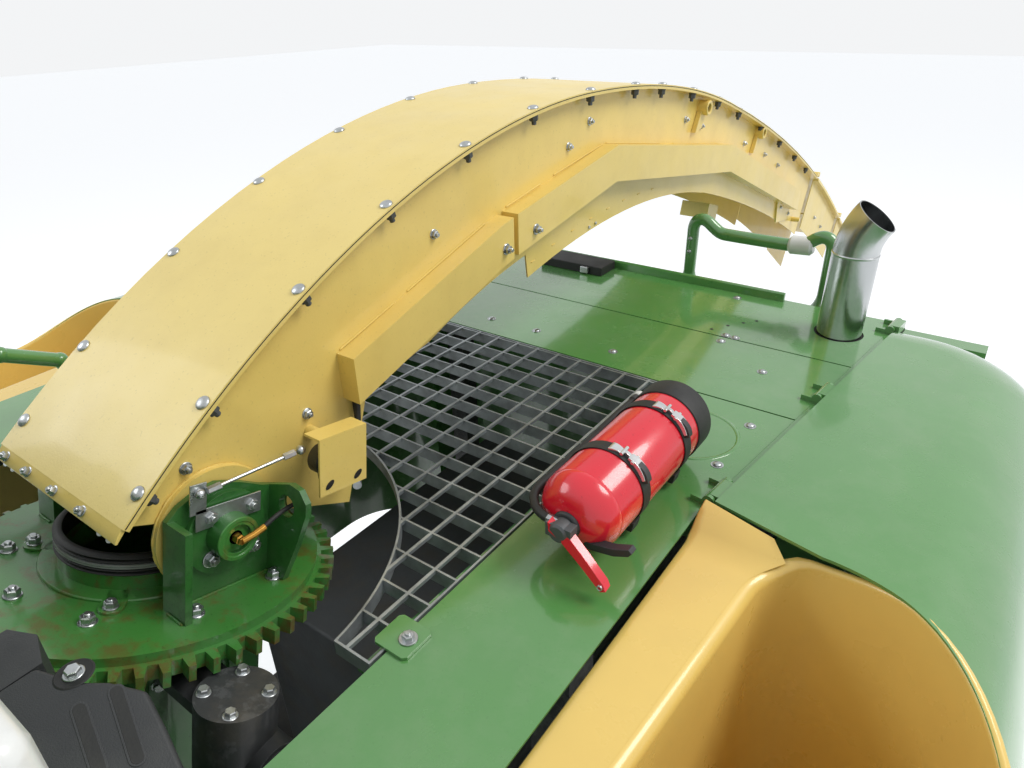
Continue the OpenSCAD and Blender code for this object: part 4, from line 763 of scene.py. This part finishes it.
# Pivot fittings: bolts and caps on the bosses, grease lines, and the link rod's bracket
BOSS_PLATE, BOSS_END, PIVOT_Y, PIVOT_H = 205.0, 236.0, 25.0, 128.0
BOSS_BOLTS = [(-8, 167), (66, 167), (-4, 89), (74, 87)]
BOSS_CAP = [(38, -0.4), (37, 1.6), (31, 2), (30, 0.4), (24.5, 0.4), (24.5, -7), (0, -7)]
GREASE_NIPPLE = [(0, -7), (9, -7), (9, 6), (7, 7), (7, 12), (0, 12)]
ROD_PLATES = [((-34, 84), (150, 186)), ((-44, -16), (180, 232))]
pivot = Build("pivot_fittings", [ZINC, BRASS, BLACK_R, GREEN_RING], "turret")
for sx in BOTH:
    side_way = (sx, 0, 0)
    for y, z in BOSS_BOLTS:
        pivot.bolt(RP(sx * BOSS_PLATE, y, z), side_way, BOSS_BOLT)
    cap_at = frame_to(RP(sx * BOSS_END, PIVOT_Y, PIVOT_H), side_way)
    pivot.lathe(BOSS_CAP, cap_at, 48, 3)
    pivot.lathe(GREASE_NIPPLE, cap_at, 6, 1)
    far = sx * (BOSS_END + 13)
    pipe = [(sx * (BOSS_END + 10), 0, 0), (far, 20, 6), (far, 40, 13)]
    pivot.tube([RP(x, PIVOT_Y + y, PIVOT_H + z) for x, y, z in pipe], 6, 8, 1)
    line = [(far, PIVOT_Y + 36, PIVOT_H + 12), (far, 84, 152), (sx * (BOSS_END + 10), 108, 158),
            (sx * (BOSS_END + 6), 136, 160)]
    pivot.tube(curve(RP, line), 4, 12, 2)
    grommet_at = frame_to(RP(sx * 242, 125, 160), RING.to_3x3() @ Vector((0, 1, 0)))
    pivot.lathe([(20, -1), (23, 0), (23, 3), (19.5, 3)], grommet_at, 32, 3)
for (y0, y1), (z0, z1) in ROD_PLATES:
    corners = [RP(BOSS_PLATE + 3, y, z) for y, z in ((y0, z0), (y1, z0), (y1, z1), (y0, z1))]
    pivot.slab(corners, mm(3, 0, 0))
pivot.done("steel_tube", bevel=0.8)

# Rubber collar with five folds and its grey band
NECK_TOP, COLLAR_H, COLLAR_R, BORE_R, FOLD_H = 45.0, 38.0, 140.0, 126.0, 7.4
FOLD = [(-5, 0), (-1, 1.6), (0, 3), (-1, 4.4), (-5, 6)]
BAND = [(-4, 60), (-0.2, 60.5), (-0.2, 67), (-4, 67.5)]
profile = [(BORE_R, NECK_TOP)]
for i in range(5):
    profile += [(COLLAR_R + dr, NECK_TOP + 1 + i * FOLD_H + dz) for dr, dz in FOLD]
profile += [(COLLAR_R - 6, NECK_TOP + COLLAR_H), (BORE_R, NECK_TOP + COLLAR_H), (BORE_R, NECK_TOP)]
folds = Build("collar_folds", [BLACK_R, GREY_BAND], "turret", smooth=60)
folds.lathe(profile, RING, 96)
folds.lathe([(COLLAR_R + dr, z) for dr, z in BAND], RING, 96, 1)
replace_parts(folds.done("black_rubber"), "collar")

# Seam strips with bolts down the crop tower, bolts and cable on the slewing drive
SEAM_ANGLES, STRIP_R = (-100, -62, -24, 14), 206.0
STRIP = [(199, -14), (STRIP_R, -14), (STRIP_R, 14), (199, 14)]
tower = Build("tower_seams", [GREEN_D, ZINC])
for angle in SEAM_ANGLES:
    at = RING @ Matrix.Rotation(radians(angle), 4, "Z")
    tower.prism(STRIP, -700, -60, 0, at)
    for z in range(-660, -80, 90):
        tower.bolt(at @ mm(STRIP_R, 0, z), at.to_3x3() @ Vector((1, 0, 0)), TOWER_BOLT, 1)
tower.done("green_paint", bevel=1)
MOTOR_X, MOTOR_Y, MOTOR_TOP = 375.0, -70.0, -32.5
MOTOR_CABLE = [(395, -60, -150), (420, -110, -190), (410, -190, -260), (360, -260, -380)]
motor = Build("motor_bolts", [ZINC, BLACK_R])
for x, y in circle(46, 4, 45):
    motor.bolt(RP(MOTOR_X + x, MOTOR_Y + y, MOTOR_TOP), RING_UP, MOTOR_BOLT)
motor.tube(curve(P, MOTOR_CABLE), 9, 12, 1)
motor.done("steel_tube")

# Cover behind the cab: slots in its falling face, a recessed bolt and the raised part beside it. The
# near-black stadiums inside the slots and the dark disc of the recess are painted shade
COVER_TOP, FALL_X, FALL = 175.0, 432.0, 0.4195
COVER_SLOTS = [((446, -230), (516, -253)), ((438, -266), (500, -284)), ((540, -262), (640, -296)),
               ((520, -310), (620, -332))]
RECESS_X, RECESS_S = 388, -247
RECESS = [(22, 0), (20, 0.9), (19, 0.5), (0, 0.5)]
WEDGE_LOW, WEDGE_HIGH = 30, 172
WEDGE = [(247, -349), (247, -262), (287, -244), (337, -260), (339.6, -349)]
COVER_OUT = Vector((0.42, 0, 1)).normalized()
cover = Build("cover_slots", [BLACK_R, PLASTIC, ZINC])
for ends in COVER_SLOTS:
    start, end = [P(x, s, COVER_TOP - FALL * (x - FALL_X)) for x, s in ends]
    at = frame_to((start + end) / 2 + COVER_OUT * 0.0003, COVER_OUT, end - start)
    half = (end - start).length * 500
    cover.prism(stadium(half, 9), 0, 0.5, 1, at)
    cover.prism(stadium(half, 6.5), 0.3, 0.9, 0, at)
cover.lathe(RECESS, P(RECESS_X, RECESS_S, COVER_TOP + 0.2), 32)
cover.bolt(P(RECESS_X, RECESS_S, COVER_TOP + 0.4), UP, COVER_BOLT, 2)
cover.prism(WEDGE, WEDGE_LOW, WEDGE_HIGH, 1, ON_DECK)
cover.done("black_plastic", bevel=6, segments=3)

# Deck: round-headed screws, holes, the pressed ring, the grating's clamp and the raised rear lip
DECK_SCREWS = [(81, 1148), (546, 1368), (544, 1411), (571, 1409), (575, 997), (763, 983), (759, 801),
               (330, 1148), (700, 1250), (470, 1700)]
DECK_HOLES = [(494, 1431), (524, 1479), (554, 1522), (581, 1556)]
PRESS_X, PRESS_S = 665, 885
PRESSED_RING = [(96, 0), (98, 1.2), (101, 1.6), (104, 1.2), (106, 0)]
CLAMP_TAB = [(508, 84), (508, 136), (514, 142), (568, 142), (574, 136), (574, 84), (568, 78), (514, 78)]
CLAMP_X, CLAMP_S, CLAMP_T = 552, 110, 6
REAR_LIP = [(1743, -2), (1743, 2), (1746, 22), (1750, 26), (1757, 26), (1760.5, 22), (1760.5, -2)]
LIP_HALF = 600
deck = Build("deck_screws", [ZINC, BLACK_R, GREEN])
for sx in BOTH:
    for x, s in DECK_SCREWS:
        deck.lathe([(13, 0), (13, 0.8), (9, 1.0)], P(sx * x, s, 0))
        deck.dome(P(sx * x, s, 0.8), UP, 9.5, 4.5)
    # The holes are near-black discs on the deck: painted shade in them
    for x, s in DECK_HOLES:
        deck.lathe([(5, 0.3), (0, 0.3)], P(sx * x, s, 0), 16, 1)
deck.lathe(PRESSED_RING, P(PRESS_X, PRESS_S, 0), 72, 2)
deck.done("steel_tube")
clamp = Build("grating_clamp", [GREEN, ZINC])
clamp.prism(CLAMP_TAB, 0.3, CLAMP_T, 0, ON_DECK)
clamp.bolt(P(CLAMP_X, CLAMP_S, CLAMP_T), UP, CLAMP_BOLT, 1)
clamp.done("green_paint", bevel=1.2)
lip = Build("deck_rear_lip", [GREEN, BLACK_R, ZINC])
lip.sweep([[mm(x, s, z) for s, z in REAR_LIP] for x in (-LIP_HALF, LIP_HALF)], 0, ON_DECK)
lip.box((-230, 1640, 0.2), (15, 1738, 30), 1, ON_DECK)
lip.box((-64, 1630, 4), (-34, 1648, 26), 2, ON_DECK)
lip.done("green_paint", bevel=4, segments=3)

# Strips in the gap along each hood: place beside the hinge line, height and material; the dark green lower
# strip is painted shade in the gap
EDGE_X, EDGE_S, EDGE_RUN, STRIP_FROM, STRIP_TO = 793, 650, 0.12, 652, 1752
GAP_STRIPS = [(-5.9, 12.5, -4, -0.6, 0), (12.6, 18, -16, -8, 1)]


def hinge_x(s):
    return EDGE_X + (s - EDGE_S) * EDGE_RUN


gap = Build("hood_gap_strips", [GREEN, HOOD_GAP_SHADE])
for sx in BOTH:
    for near, far, low, high, slot in GAP_STRIPS:
        plan = ((near, STRIP_FROM), (near, STRIP_TO), (far, STRIP_TO), (far, STRIP_FROM))
        gap.slab([P(sx * (hinge_x(s) + x), s, low) for x, s in plan], mm(0, 0, high - low), slot)
gap.done("green_paint")

# Exhaust: a near-black ring in the gap of the deck round the pipe, which is painted shade, and the welded
# joint
EXHAUST_X, EXHAUST_S, EXHAUST_R = 797.0, 1601.0, 59.0
GAP_SHADE_RING = [(0.3, -3), (5.8, -3), (5.8, -0.4)]
JOINT = [(-0.6, 226), (0.9, 228.5), (0.9, 231.5), (-0.9, 234)]
exhaust = Build("exhaust_rings", [PAINTED_SHADE, STEEL])
for slot, ring in enumerate((GAP_SHADE_RING, JOINT)):
    exhaust.lathe([(EXHAUST_R + dr, z) for dr, z in ring], P(EXHAUST_X, EXHAUST_S, 0), 64, slot)
exhaust.done("steel_tube")

# Rest hoop: one bent tube on flared feet, with its roller pad and screws
REST_S, REST_R, REST_X = 1855.0, 20.0, (243.0, 690.0)
HALF_HOOP = [(0, -60), (0, 40), (0, 120), (1, 158), (11, 178), (30, 185), (50, 178), (72, 162), (98, 148),
             (140, 145.5)]
FOOT = [(50, -60), (50, -56), (38, -44), (27, -24), (22, -10), (20.2, 0)]
ROLLER_PAD = [(560, 148), (568, 148), (626, 152), (634, 153)]
hoop = Build("spout_rest_tube", [GREEN, WHITE, ZINC])
bends = [(REST_X[0] + x, z) for x, z in HALF_HOOP] + [(REST_X[1] - x, z) for x, z in reversed(HALF_HOOP)]
hoop.tube(smooth_path([P(x, REST_S, z) for x, z in bends], 6), REST_R, 24)
for x in REST_X:
    hoop.lathe(FOOT, P(x, REST_S, 0), 40)
hoop.tube([P(x, REST_S, z) for x, z in ROLLER_PAD], [21, 29, 29, 21], 28, 1)
for z in (120, 75):
    hoop.dome(P(REST_X[0], REST_S - 19, z), (0, -1, 0), 7, 5, 2)
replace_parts(hoop.done("green_paint"), "spout_rest")

# Air scoops: the moulded plateau, its ramp at the rear and the round bowl beside it
SCOOP_TOP, SCOOP_FLOOR = -15.0, -846.0
SCOOP_X, SCOOP_S, SCOOP_R = 1010.0, 290.0, 314.0
INNER_X, FRONT_S, REAR_S = 793.0, -39.0, 645.0
WALL_FRONT, WALL_REAR, WALL_END = 898.0, 935.0, 515.0  # the bowl's straight wall: across twice, behind
RAMP_FOOT, RAMP_TOP, REAR_RUN = 562.0, 640.0, 43 / 217
CROWN_Z, SHOULDER_X, SHOULDER_R = 29.0, 1120.0, 230.0
WALL_EDGE, RIM_EDGE = 22.0, 9.0  # radius of the rounded edge at the plateau and at the hood
BOWL_END = SCOOP_S + SCOOP_R
PLATEAU_COLS, PLATEAU_ROWS = 10, 26
WALL_DEEP, FLOOR_MID = 760, (1080, 290)  # depth of the straight wall, the middle of the bowl's floor


def soft_step(t):
    t = min(1, max(0, t))
    return t * t * (3 - 2 * t)


def plateau_z(s):
    return SCOOP_TOP + (CROWN_Z - SCOOP_TOP) * soft_step((s - RAMP_FOOT) / (RAMP_TOP - RAMP_FOOT))


def hood_z(x):
    """Height of the hood's skin over its shoulder."""
    d = x - SHOULDER_X
    return CROWN_Z if d < 0 else CROWN_Z - SHOULDER_R + sqrt(max(0, SHOULDER_R ** 2 - d * d))


def bowl_outline():
    """(x, s, rim height, edge radius) round the bowl, from the front along the inner wall."""
    points = []
    for i in range(15):
        x = WALL_FRONT + (WALL_REAR - WALL_FRONT) * i / 14
        points.append((x, FRONT_S + (WALL_END - FRONT_S) * i / 14, SCOOP_TOP, WALL_EDGE))
    for i in range(1, 8):
        a = radians(90 * i / 8)
        x = WALL_REAR + (SCOOP_X - WALL_REAR) * (1 - cos(a))
        s = WALL_END + (BOWL_END - WALL_END) * sin(a)
        points.append((x, s, plateau_z(s), WALL_EDGE - 12 * i / 8))
    start = plateau_z(BOWL_END)
    for i in range(41):
        a = radians(180 * i / 40)
        x, s = SCOOP_X + SCOOP_R * sin(a), SCOOP_S + SCOOP_R * cos(a)
        points.append((x, s, start + (hood_z(x) - start) * soft_step(i / 6), RIM_EDGE))
    return points


def bowl_section(x, s, z, edge, out):
    """Points (x, s, z) from the rim over the rounded edge and down the wall to the floor."""
    shallow = edge < 12
    steps = [(edge + 7, 4.0 if shallow else 0.4), (edge + 3, 1.2 if shallow else 0.1)]
    for angle in range(0, 91, 15):
        a = radians(angle)
        steps.append((edge * (1 - sin(a)), edge * (1 - cos(a))))
    for depth in (60, 160, 300, 460, 620, WALL_DEEP):
        steps.append((-depth * 0.03, edge + depth * (SCOOP_TOP - SCOOP_FLOOR - 60) / WALL_DEEP))
    foot, floor = steps[-1]
    for angle in (30, 60, 90):
        a = radians(angle)
        steps.append((foot - 40 * (1 - cos(a)), floor + 38 * sin(a)))
    return [(x + out.x * reach, s + out.y * reach, z - drop) for reach, drop in steps]


def plateau_end(s, wall):
    """How far out the plateau reaches at s, up to the bowl's rounded edge."""
    for (xa, sa, _, ra), (xb, sb, _, rb) in zip(wall, wall[1:]):
        if sa <= s <= sb:
            k = (s - sa) / max(1e-6, sb - sa)
            return xa + (xb - xa) * k - (ra + (rb - ra) * k) + 1
    return min(SCOOP_X - 9, INNER_X + 4 + (REAR_S - s) / REAR_RUN)


outline = bowl_outline()
wall = [q for q in outline if q[1] <= BOWL_END and q[0] <= SCOOP_X]
for sx, word in SIDES:
    scoop = Build("scoop_moulding_" + word, BEIGE_PL, "hood_" + word, smooth=75)
    rows = []
    for i, place in enumerate(outline):
        before, after = outline[max(i - 1, 0)], outline[min(i + 1, len(outline) - 1)]
        along = Vector((after[0] - before[0], after[1] - before[1])).normalized()
        section = bowl_section(*place, Vector((-along.y, along.x)))
        rows.append([P(sx * x, max(s, FRONT_S + 0.5), z) for x, s, z in section])
    n = len(rows[0])
    middle = len(rows) * n
    floor = [(i * n + n - 1, middle, (i + 1) * n + n - 1) for i in range(len(rows) - 1)]
    points = [p for row in rows for p in row] + [P(sx * FLOOR_MID[0], FLOOR_MID[1], SCOOP_FLOOR)]
    scoop.add(points, grid(len(rows), n, closed=False) + floor)
    points = []
    for j in range(PLATEAU_ROWS + 1):
        s = FRONT_S + (REAR_S - FRONT_S) * j / PLATEAU_ROWS
        points += [P(sx * INNER_X, s, plateau_z(s) - drop) for drop in (22, 4)]
        width = plateau_end(s, wall) - INNER_X - 3
        for i in range(PLATEAU_COLS + 1):
            x = INNER_X + 3 + width * i / PLATEAU_COLS
            back = min(s, REAR_S - (x - INNER_X) * REAR_RUN)
            points.append(P(sx * x, back, plateau_z(back) + 0.3))
    scoop.add(points, grid(PLATEAU_ROWS + 1, PLATEAU_COLS + 3, closed=False))
    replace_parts(scoop.done("beige_paint"), "scoop_" + word)

# Driver's seat: padded pieces with sewn channels on a suspension base
CAB_LOW = 1880.0
SEAT_S, CUSHION_Z, BACK_S, BACK_Z = -1015, CAB_LOW + 372, -798, CAB_LOW + 770
ARM_X, ARM_S, ARM_Z = 290, -990, CAB_LOW + 535
BELLOWS, BELLOWS_PITCH, BELLOWS_T, BASE_S = 7, 26, 24, -1000
CUSHION_GRID = 22
PINCH, GROOVE, GROOVE_W = 0.035, 0.11, 0.045  # drawn-in sides, depth and width of a seam, as shares


def cushion(name, place, size, lean=0.0, channels=3):
    """A crowned pad: size is (across, deep, thick) in mm, lean turns it back about X."""
    width, depth, thick = size
    n = CUSHION_GRID + 1
    pad = Build(name, FABRIC, smooth=80)
    at = Matrix.Translation(place) @ Matrix.Rotation(radians(lean), 4, "X")
    seams = [2 * k / (channels + 1) - 1 for k in range(1, channels + 1)]
    for side in BOTH:
        points = []
        for j in range(n):
            for i in range(n):
                u, v = 2 * i / CUSHION_GRID - 1, 2 * j / CUSHION_GRID - 1
                pull = 1 - PINCH * ((1 - abs(u) ** 4) * abs(v) ** 8 + (1 - abs(v) ** 4) * abs(u) ** 8)
                crown = ((1 - abs(u) ** 6) * (1 - abs(v) ** 6)) ** 0.35
                cut = sum(GROOVE * exp(-((v - seam) / GROOVE_W) ** 2) for seam in seams)
                height = crown * (1 - cut) if side > 0 else -0.85 * crown
                points.append(mm(u * width / 2 * pull, v * depth / 2 * pull, height * thick / 2))
        faces = grid(n, n, closed=False)
        pad.add(points, faces if side > 0 else [face[::-1] for face in faces], 0, at)
    pad = pad.done("seat_fabric", subdivide=1)
    return pad


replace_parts(cushion("seat_cushion", G(0, SEAT_S, CUSHION_Z), (496, 506, 112)), "driver_seat")
cushion("seat_back", G(0, BACK_S, BACK_Z), (456, 650, 104), lean=90, channels=4)
for sx, word in SIDES:
    cushion("armrest_" + word, G(sx * ARM_X, ARM_S, ARM_Z), (76, 372, 46), channels=0)
base = Build("seat_base", [DARK, BLACK_R])
for i in range(BELLOWS):
    half, low = 196 - 4 * (i % 2), CAB_LOW + 100 + i * BELLOWS_PITCH
    base.box((-half, BASE_S - half, low), (half, BASE_S + half, low + BELLOWS_T), 1, ON_GROUND)
base.box((-200, BASE_S - 200, CAB_LOW + 80.5), (200, BASE_S + 200, CAB_LOW + 100), 0, ON_GROUND)
base.box((-215, -1230, CAB_LOW + 282), (215, -790, CAB_LOW + 312), 0, ON_GROUND)
for sx in BOTH:
    base.box((sx * 262, -1010, CAB_LOW + 335), (sx * 318, -960, CAB_LOW + 515), 0, ON_GROUND)
base.done("dark_paint", bevel=5)

# Mirror faces, lamp lenses and wheel nuts
MIRROR_FACE = [(874, 2914), (1066, 2914), (1066, 3386), (874, 3386)]
MIRROR_S, LENS_Z = -2020.2, 3775
WORK_LAMPS = [(500, -2180, -1), (690, -2100, -1), (690, -420, 1)]  # across, behind, way it looks
LENS_RING = [(40, 0), (40, 3), (36, 3.4), (36, 1)]
LENS_GLASS = [(36, 1.2), (26, 2.4), (12, 3.2), (0, 3.4)]
NUT_CIRCLE, NUTS = 172.0, 12
faces = Build("mirror_faces", MIRROR)
lenses = Build("lamp_lenses", [LENS, PLASTIC])
for sx in BOTH:
    faces.slab([G(sx * x, MIRROR_S, z) for x, z in MIRROR_FACE], mm(0, 2, 0))
    for x, s, way in WORK_LAMPS:
        at = frame_to(G(sx * x, s + way * 0.3, LENS_Z), (0, way, 0))
        lenses.lathe(LENS_RING, at, 32, 1)
        lenses.lathe(LENS_GLASS, at, 32)
faces.done("black_plastic", bevel=0.6)
lenses.done("lamp_plastic")
for end in ("front_", "rear_"):
    for sx, word in SIDES:
        rim = frame["nodes"]["rim_" + end + word]
        low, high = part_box("rim_" + end + word)
        middle = (Vector(low) + Vector(high)) / 2
        nuts = Build("wheel_" + end + word + "_nuts", ZINC, "wheel_" + end + word)
        for dy, dz in circle(NUT_CIRCLE, NUTS):
            start = Vector((sx * 3.0, middle.y + dy / 1000, middle.z + dz / 1000))
            hit, place, _, _ = rim.ray_cast(start, Vector((-sx, 0, 0)))
            if hit:
                nuts.bolt(place, (sx, 0, 0), WHEEL_NUT)
        nuts.done("steel_tube")

# Cab: window seals, the door's seal, handle and lock, the wiper
CAB_X, CAB_REAR, ROOF_LOW, DOOR_OUT, SEAL_CORNER = 800.0, -352.0, 3540.0, 841.0, 45.0
SIDE_WINDOW = (-902, -478, 2558, ROOF_LOW - 58)  # behind the axis from and to, above the ground
RIGHT_WINDOW = (-1952, -978, 2298, ROOF_LOW - 58)
REAR_WINDOW = (-712, 202, 2778, ROOF_LOW - 58)  # across from and to, above the ground
DOOR_WINDOW = (-1902, -1028, 2298, ROOF_LOW - 108)
SEAL_R, DOOR_SEAL_R = 9, 8
HANDLE_S, HANDLE = -1930, [(0, 2380), (38, 2400), (42, 2480), (38, 2560), (0, 2580)]
LOCK_Z, LOCK = 2330, [(16, 0), (16, 6), (9, 8), (0, 8)]


def seal(piece, place, window, radius=SEAL_R):
    """A rubber seal round a window: place(a, b) gives a point of its plane."""
    a0, a1, b0, b1 = window
    k, q = SEAL_CORNER, SEAL_CORNER / 4
    loop = [(a0 + k, b0), (a1 - k, b0), (a1 - q, b0 + q), (a1, b0 + k), (a1, b1 - k), (a1 - q, b1 - q),
            (a1 - k, b1), (a0 + k, b1), (a0 + q, b1 - q), (a0, b1 - k), (a0, b0 + k), (a0 + q, b0 + q),
            (a0 + k, b0)]
    piece.tube([place(a, b) for a, b in loop], radius, 8)


seals = Build("window_seals", BLACK_R)
for sx in BOTH:
    seal(seals, lambda s, z: G(sx * (CAB_X + 4), s, z), SIDE_WINDOW)
seal(seals, lambda s, z: G(-CAB_X - 4, s, z), RIGHT_WINDOW)
seal(seals, lambda x, z: G(x, CAB_REAR + 4, z), REAR_WINDOW)
seals.done("black_rubber")
door = Build("door_fittings", [BLACK_R, PLASTIC, ZINC], "door")
seal(door, lambda s, z: G(DOOR_OUT + 2, s, z), DOOR_WINDOW, DOOR_SEAL_R)
door.tube(smooth_path([G(DOOR_OUT + x, HANDLE_S, z) for x, z in HANDLE]), 10, 14, 1)
door.lathe(LOCK, frame_to(G(DOOR_OUT, HANDLE_S, LOCK_Z), (1, 0, 0)), 24, 2)
door.done("black_plastic")

SCREEN_MID_S, BLADE_R = -1000, 1311.0
WIPER_HUB = [(26, -8), (26, 8), (18, 14), (0, 14)]
WIPER_ARM = [(3, 2262, 1318), (-4, 2480, 1330), (-12, 2700, 1322)]


def on_screen(angle, z, radius):
    """A point in front of the round windscreen, angle from straight ahead to the left."""
    a = radians(angle)
    return G(radius * sin(a), SCREEN_MID_S - radius * cos(a), z)


wiper = Build("windscreen_wiper", [PLASTIC, BLACK_R])
wiper.lathe(WIPER_HUB, frame_to(on_screen(3, 2262, 1306), (0, -1, 0)), 28)
wiper.tube(curve(on_screen, WIPER_ARM), [9, 8.6] * 8 + [7], 10)
wiper.tube([on_screen(-12 + i * 0.1, 2420 + i * 28, BLADE_R) for i in range(21)], 5, 8, 1)
wiper.done("black_plastic")

# Tail lamps, hood latches, and the raised treads of the standing areas and the ladder
TAIL_REAR, LAMP_IN, LAMP_OUT, LAMP_LOW, LAMP_HIGH = 2880.0, 1098, 1142, 1563, 1603
LATCH_X, LATCH_S, LATCH_Z = 1350, 1120, 1760
lamps = Build("tail_lamps", [LAMP_RED, PLASTIC])
for sx in BOTH:
    left, right = sorted((sx * LAMP_IN, sx * LAMP_OUT))
    low, high = (left - 3, TAIL_REAR - 1, LAMP_LOW - 3), (right + 3, TAIL_REAR + 12, LAMP_HIGH + 3)
    lamps.box(low, high, 1, ON_GROUND)
    lamps.box((left, TAIL_REAR + 11, LAMP_LOW), (right, TAIL_REAR + 20, LAMP_HIGH), 0, ON_GROUND)
lamps.done("lamp_plastic", bevel=3)
for sx, word in SIDES:
    latch = Build("hood_latch_" + word, [PLASTIC, BLACK_R], "hood_" + word)
    at = frame_to(G(sx * LATCH_X, LATCH_S, LATCH_Z), (sx, 0, 0), (0, 1, 0))
    latch.prism(stadium(46, 22), -3, 1.5, 0, at)
    latch.prism(stadium(38, 14), 1, 2.2, 1, at)
    latch.done("black_plastic", bevel=1)

TREAD_X, TREAD_S, TREAD_PITCH, FLOOR_Z = 850, -1860, 72, 1900
TREADS_ACROSS, TREADS_BACK = 9, 19
STEP_X, STEP_S, STEP_Z, STEP_PITCH = 910, -2185, 476, 290
STEPS, BARS, BAR_PITCH = 5, 8, 68
treads = Build("platform_treads", GALV)
for sx in BOTH:
    for i in range(TREADS_ACROSS):
        for j in range(TREADS_BACK):
            turn = Matrix.Rotation(radians(45 if (i + j) % 2 else -45), 4, "Z")
            place = G(sx * (TREAD_X + i * TREAD_PITCH), TREAD_S + j * TREAD_PITCH, FLOOR_Z)
            treads.prism(stadium(14, 3.2, 4), 0, 1.8, 0, Matrix.Translation(place) @ turn)
for i in range(STEPS):
    for j in range(BARS):
        place = G(STEP_X + j * BAR_PITCH, STEP_S, STEP_Z + i * STEP_PITCH)
        at = Matrix.Translation(place) @ Matrix.Rotation(radians(90), 4, "Z")
        treads.prism(stadium(46, 4, 4), 0, 2.2, 0, at)
treads.done("dark_paint")

# Camera: where the photo was taken from, its direction and focal length
PHOTO_WIDTH, FOCAL, SENSOR = 1024, 706, 36
CAMERA_AT = (1.126782, -1.394436, 4.040464)
cam = new_object("camera", bpy.data.cameras.new("camera"))
cam.data.sensor_width = SENSOR
cam.data.lens = FOCAL * SENSOR / PHOTO_WIDTH
cam.data.clip_start = 0.02
right = Vector((0.810912, 0.584766, -0.021685))
down = Vector((0.2644, -0.399207, -0.877911))
ahead = Vector((-0.522029, 0.706175, -0.478333))
turn = Matrix((right, -down, -ahead)).transposed().to_4x4()
cam.matrix_world = Matrix.Translation(CAMERA_AT) @ turn
scene = bpy.context.scene
scene.camera = cam
scene.view_settings.view_transform = "Standard"

# Studio: soft bluish light, a pale background that gloss and glass show too
SKY, PALE = (0.9, 0.94, 1.0, 1), (0.9, 0.91, 0.92, 1)
LIGHT, SEEN, FLOOR_GLOW = 0.62, 1.0, 0.5


def seen_rays(tree):
    """1 where the camera, a gloss or a glass looks, 0 where light is gathered."""
    path = tree.new("LightPath", {})
    seen = path.outputs["Is Camera Ray"]
    for ray in ("Is Glossy Ray", "Is Transmission Ray"):
        seen = tree.new("Math", {0: seen, 1: path.outputs[ray]}, operation="MAXIMUM").outputs[0]
    return seen


world = bpy.data.worlds.new("studio")
scene.world = world
sky = Tree(world)
light = sky.nodes["Background"]
sky.put(light, {"Color": SKY, "Strength": LIGHT})
backdrop = sky.new("Background", {"Color": PALE, "Strength": SEEN})
both = sky.new("MixShader", {0: seen_rays(sky), 1: light.outputs[0], 2: backdrop.outputs[0]})
sky.put(sky.nodes["World Output"], {"Surface": both.outputs[0]})


def lamp(name, place, size, power, colour):
    """A round soft lamp that looks at the middle of the machine."""
    light = bpy.data.lights.new(name, "AREA")
    light.shape = "DISK"
    light.size = size
    light.energy = power
    light.color = colour
    new_object(name, light).matrix_world = frame_to(Vector(place), Vector(place) - Vector((0, 0, 2)))


lamp("key", (7, 4, 12), 6, 900, (1, 0.98, 0.95))
lamp("fill", (-9, -6, 9), 7, 420, (0.95, 0.97, 1))

FLOOR_HALF = 60
floor_mesh = bpy.data.meshes.new("floor")
corners = [(-FLOOR_HALF, -FLOOR_HALF, 0), (FLOOR_HALF, -FLOOR_HALF, 0), (FLOOR_HALF, FLOOR_HALF, 0),
           (-FLOOR_HALF, FLOOR_HALF, 0)]
floor_mesh.from_pydata(corners, [], [(0, 1, 2, 3)])
floor = new_object("floor", floor_mesh)
floor_material = bpy.data.materials.new("floor")
ground = Tree(floor_material)
plain = ground.nodes["Principled BSDF"]
ground.put(plain, {"Base Color": (0.8, 0.8, 0.79, 1), "Roughness": 0.8})
glow = ground.new("Emission", {"Color": PALE, "Strength": FLOOR_GLOW})
added = ground.new("AddShader", {0: plain.outputs[0], 1: glow.outputs[0]})
both = ground.new("MixShader", {0: seen_rays(ground), 1: plain.outputs[0], 2: added.outputs[0]})
ground.put(ground.nodes["Material Output"], {"Surface": both.outputs[0]})
floor_mesh.materials.append(floor_material)
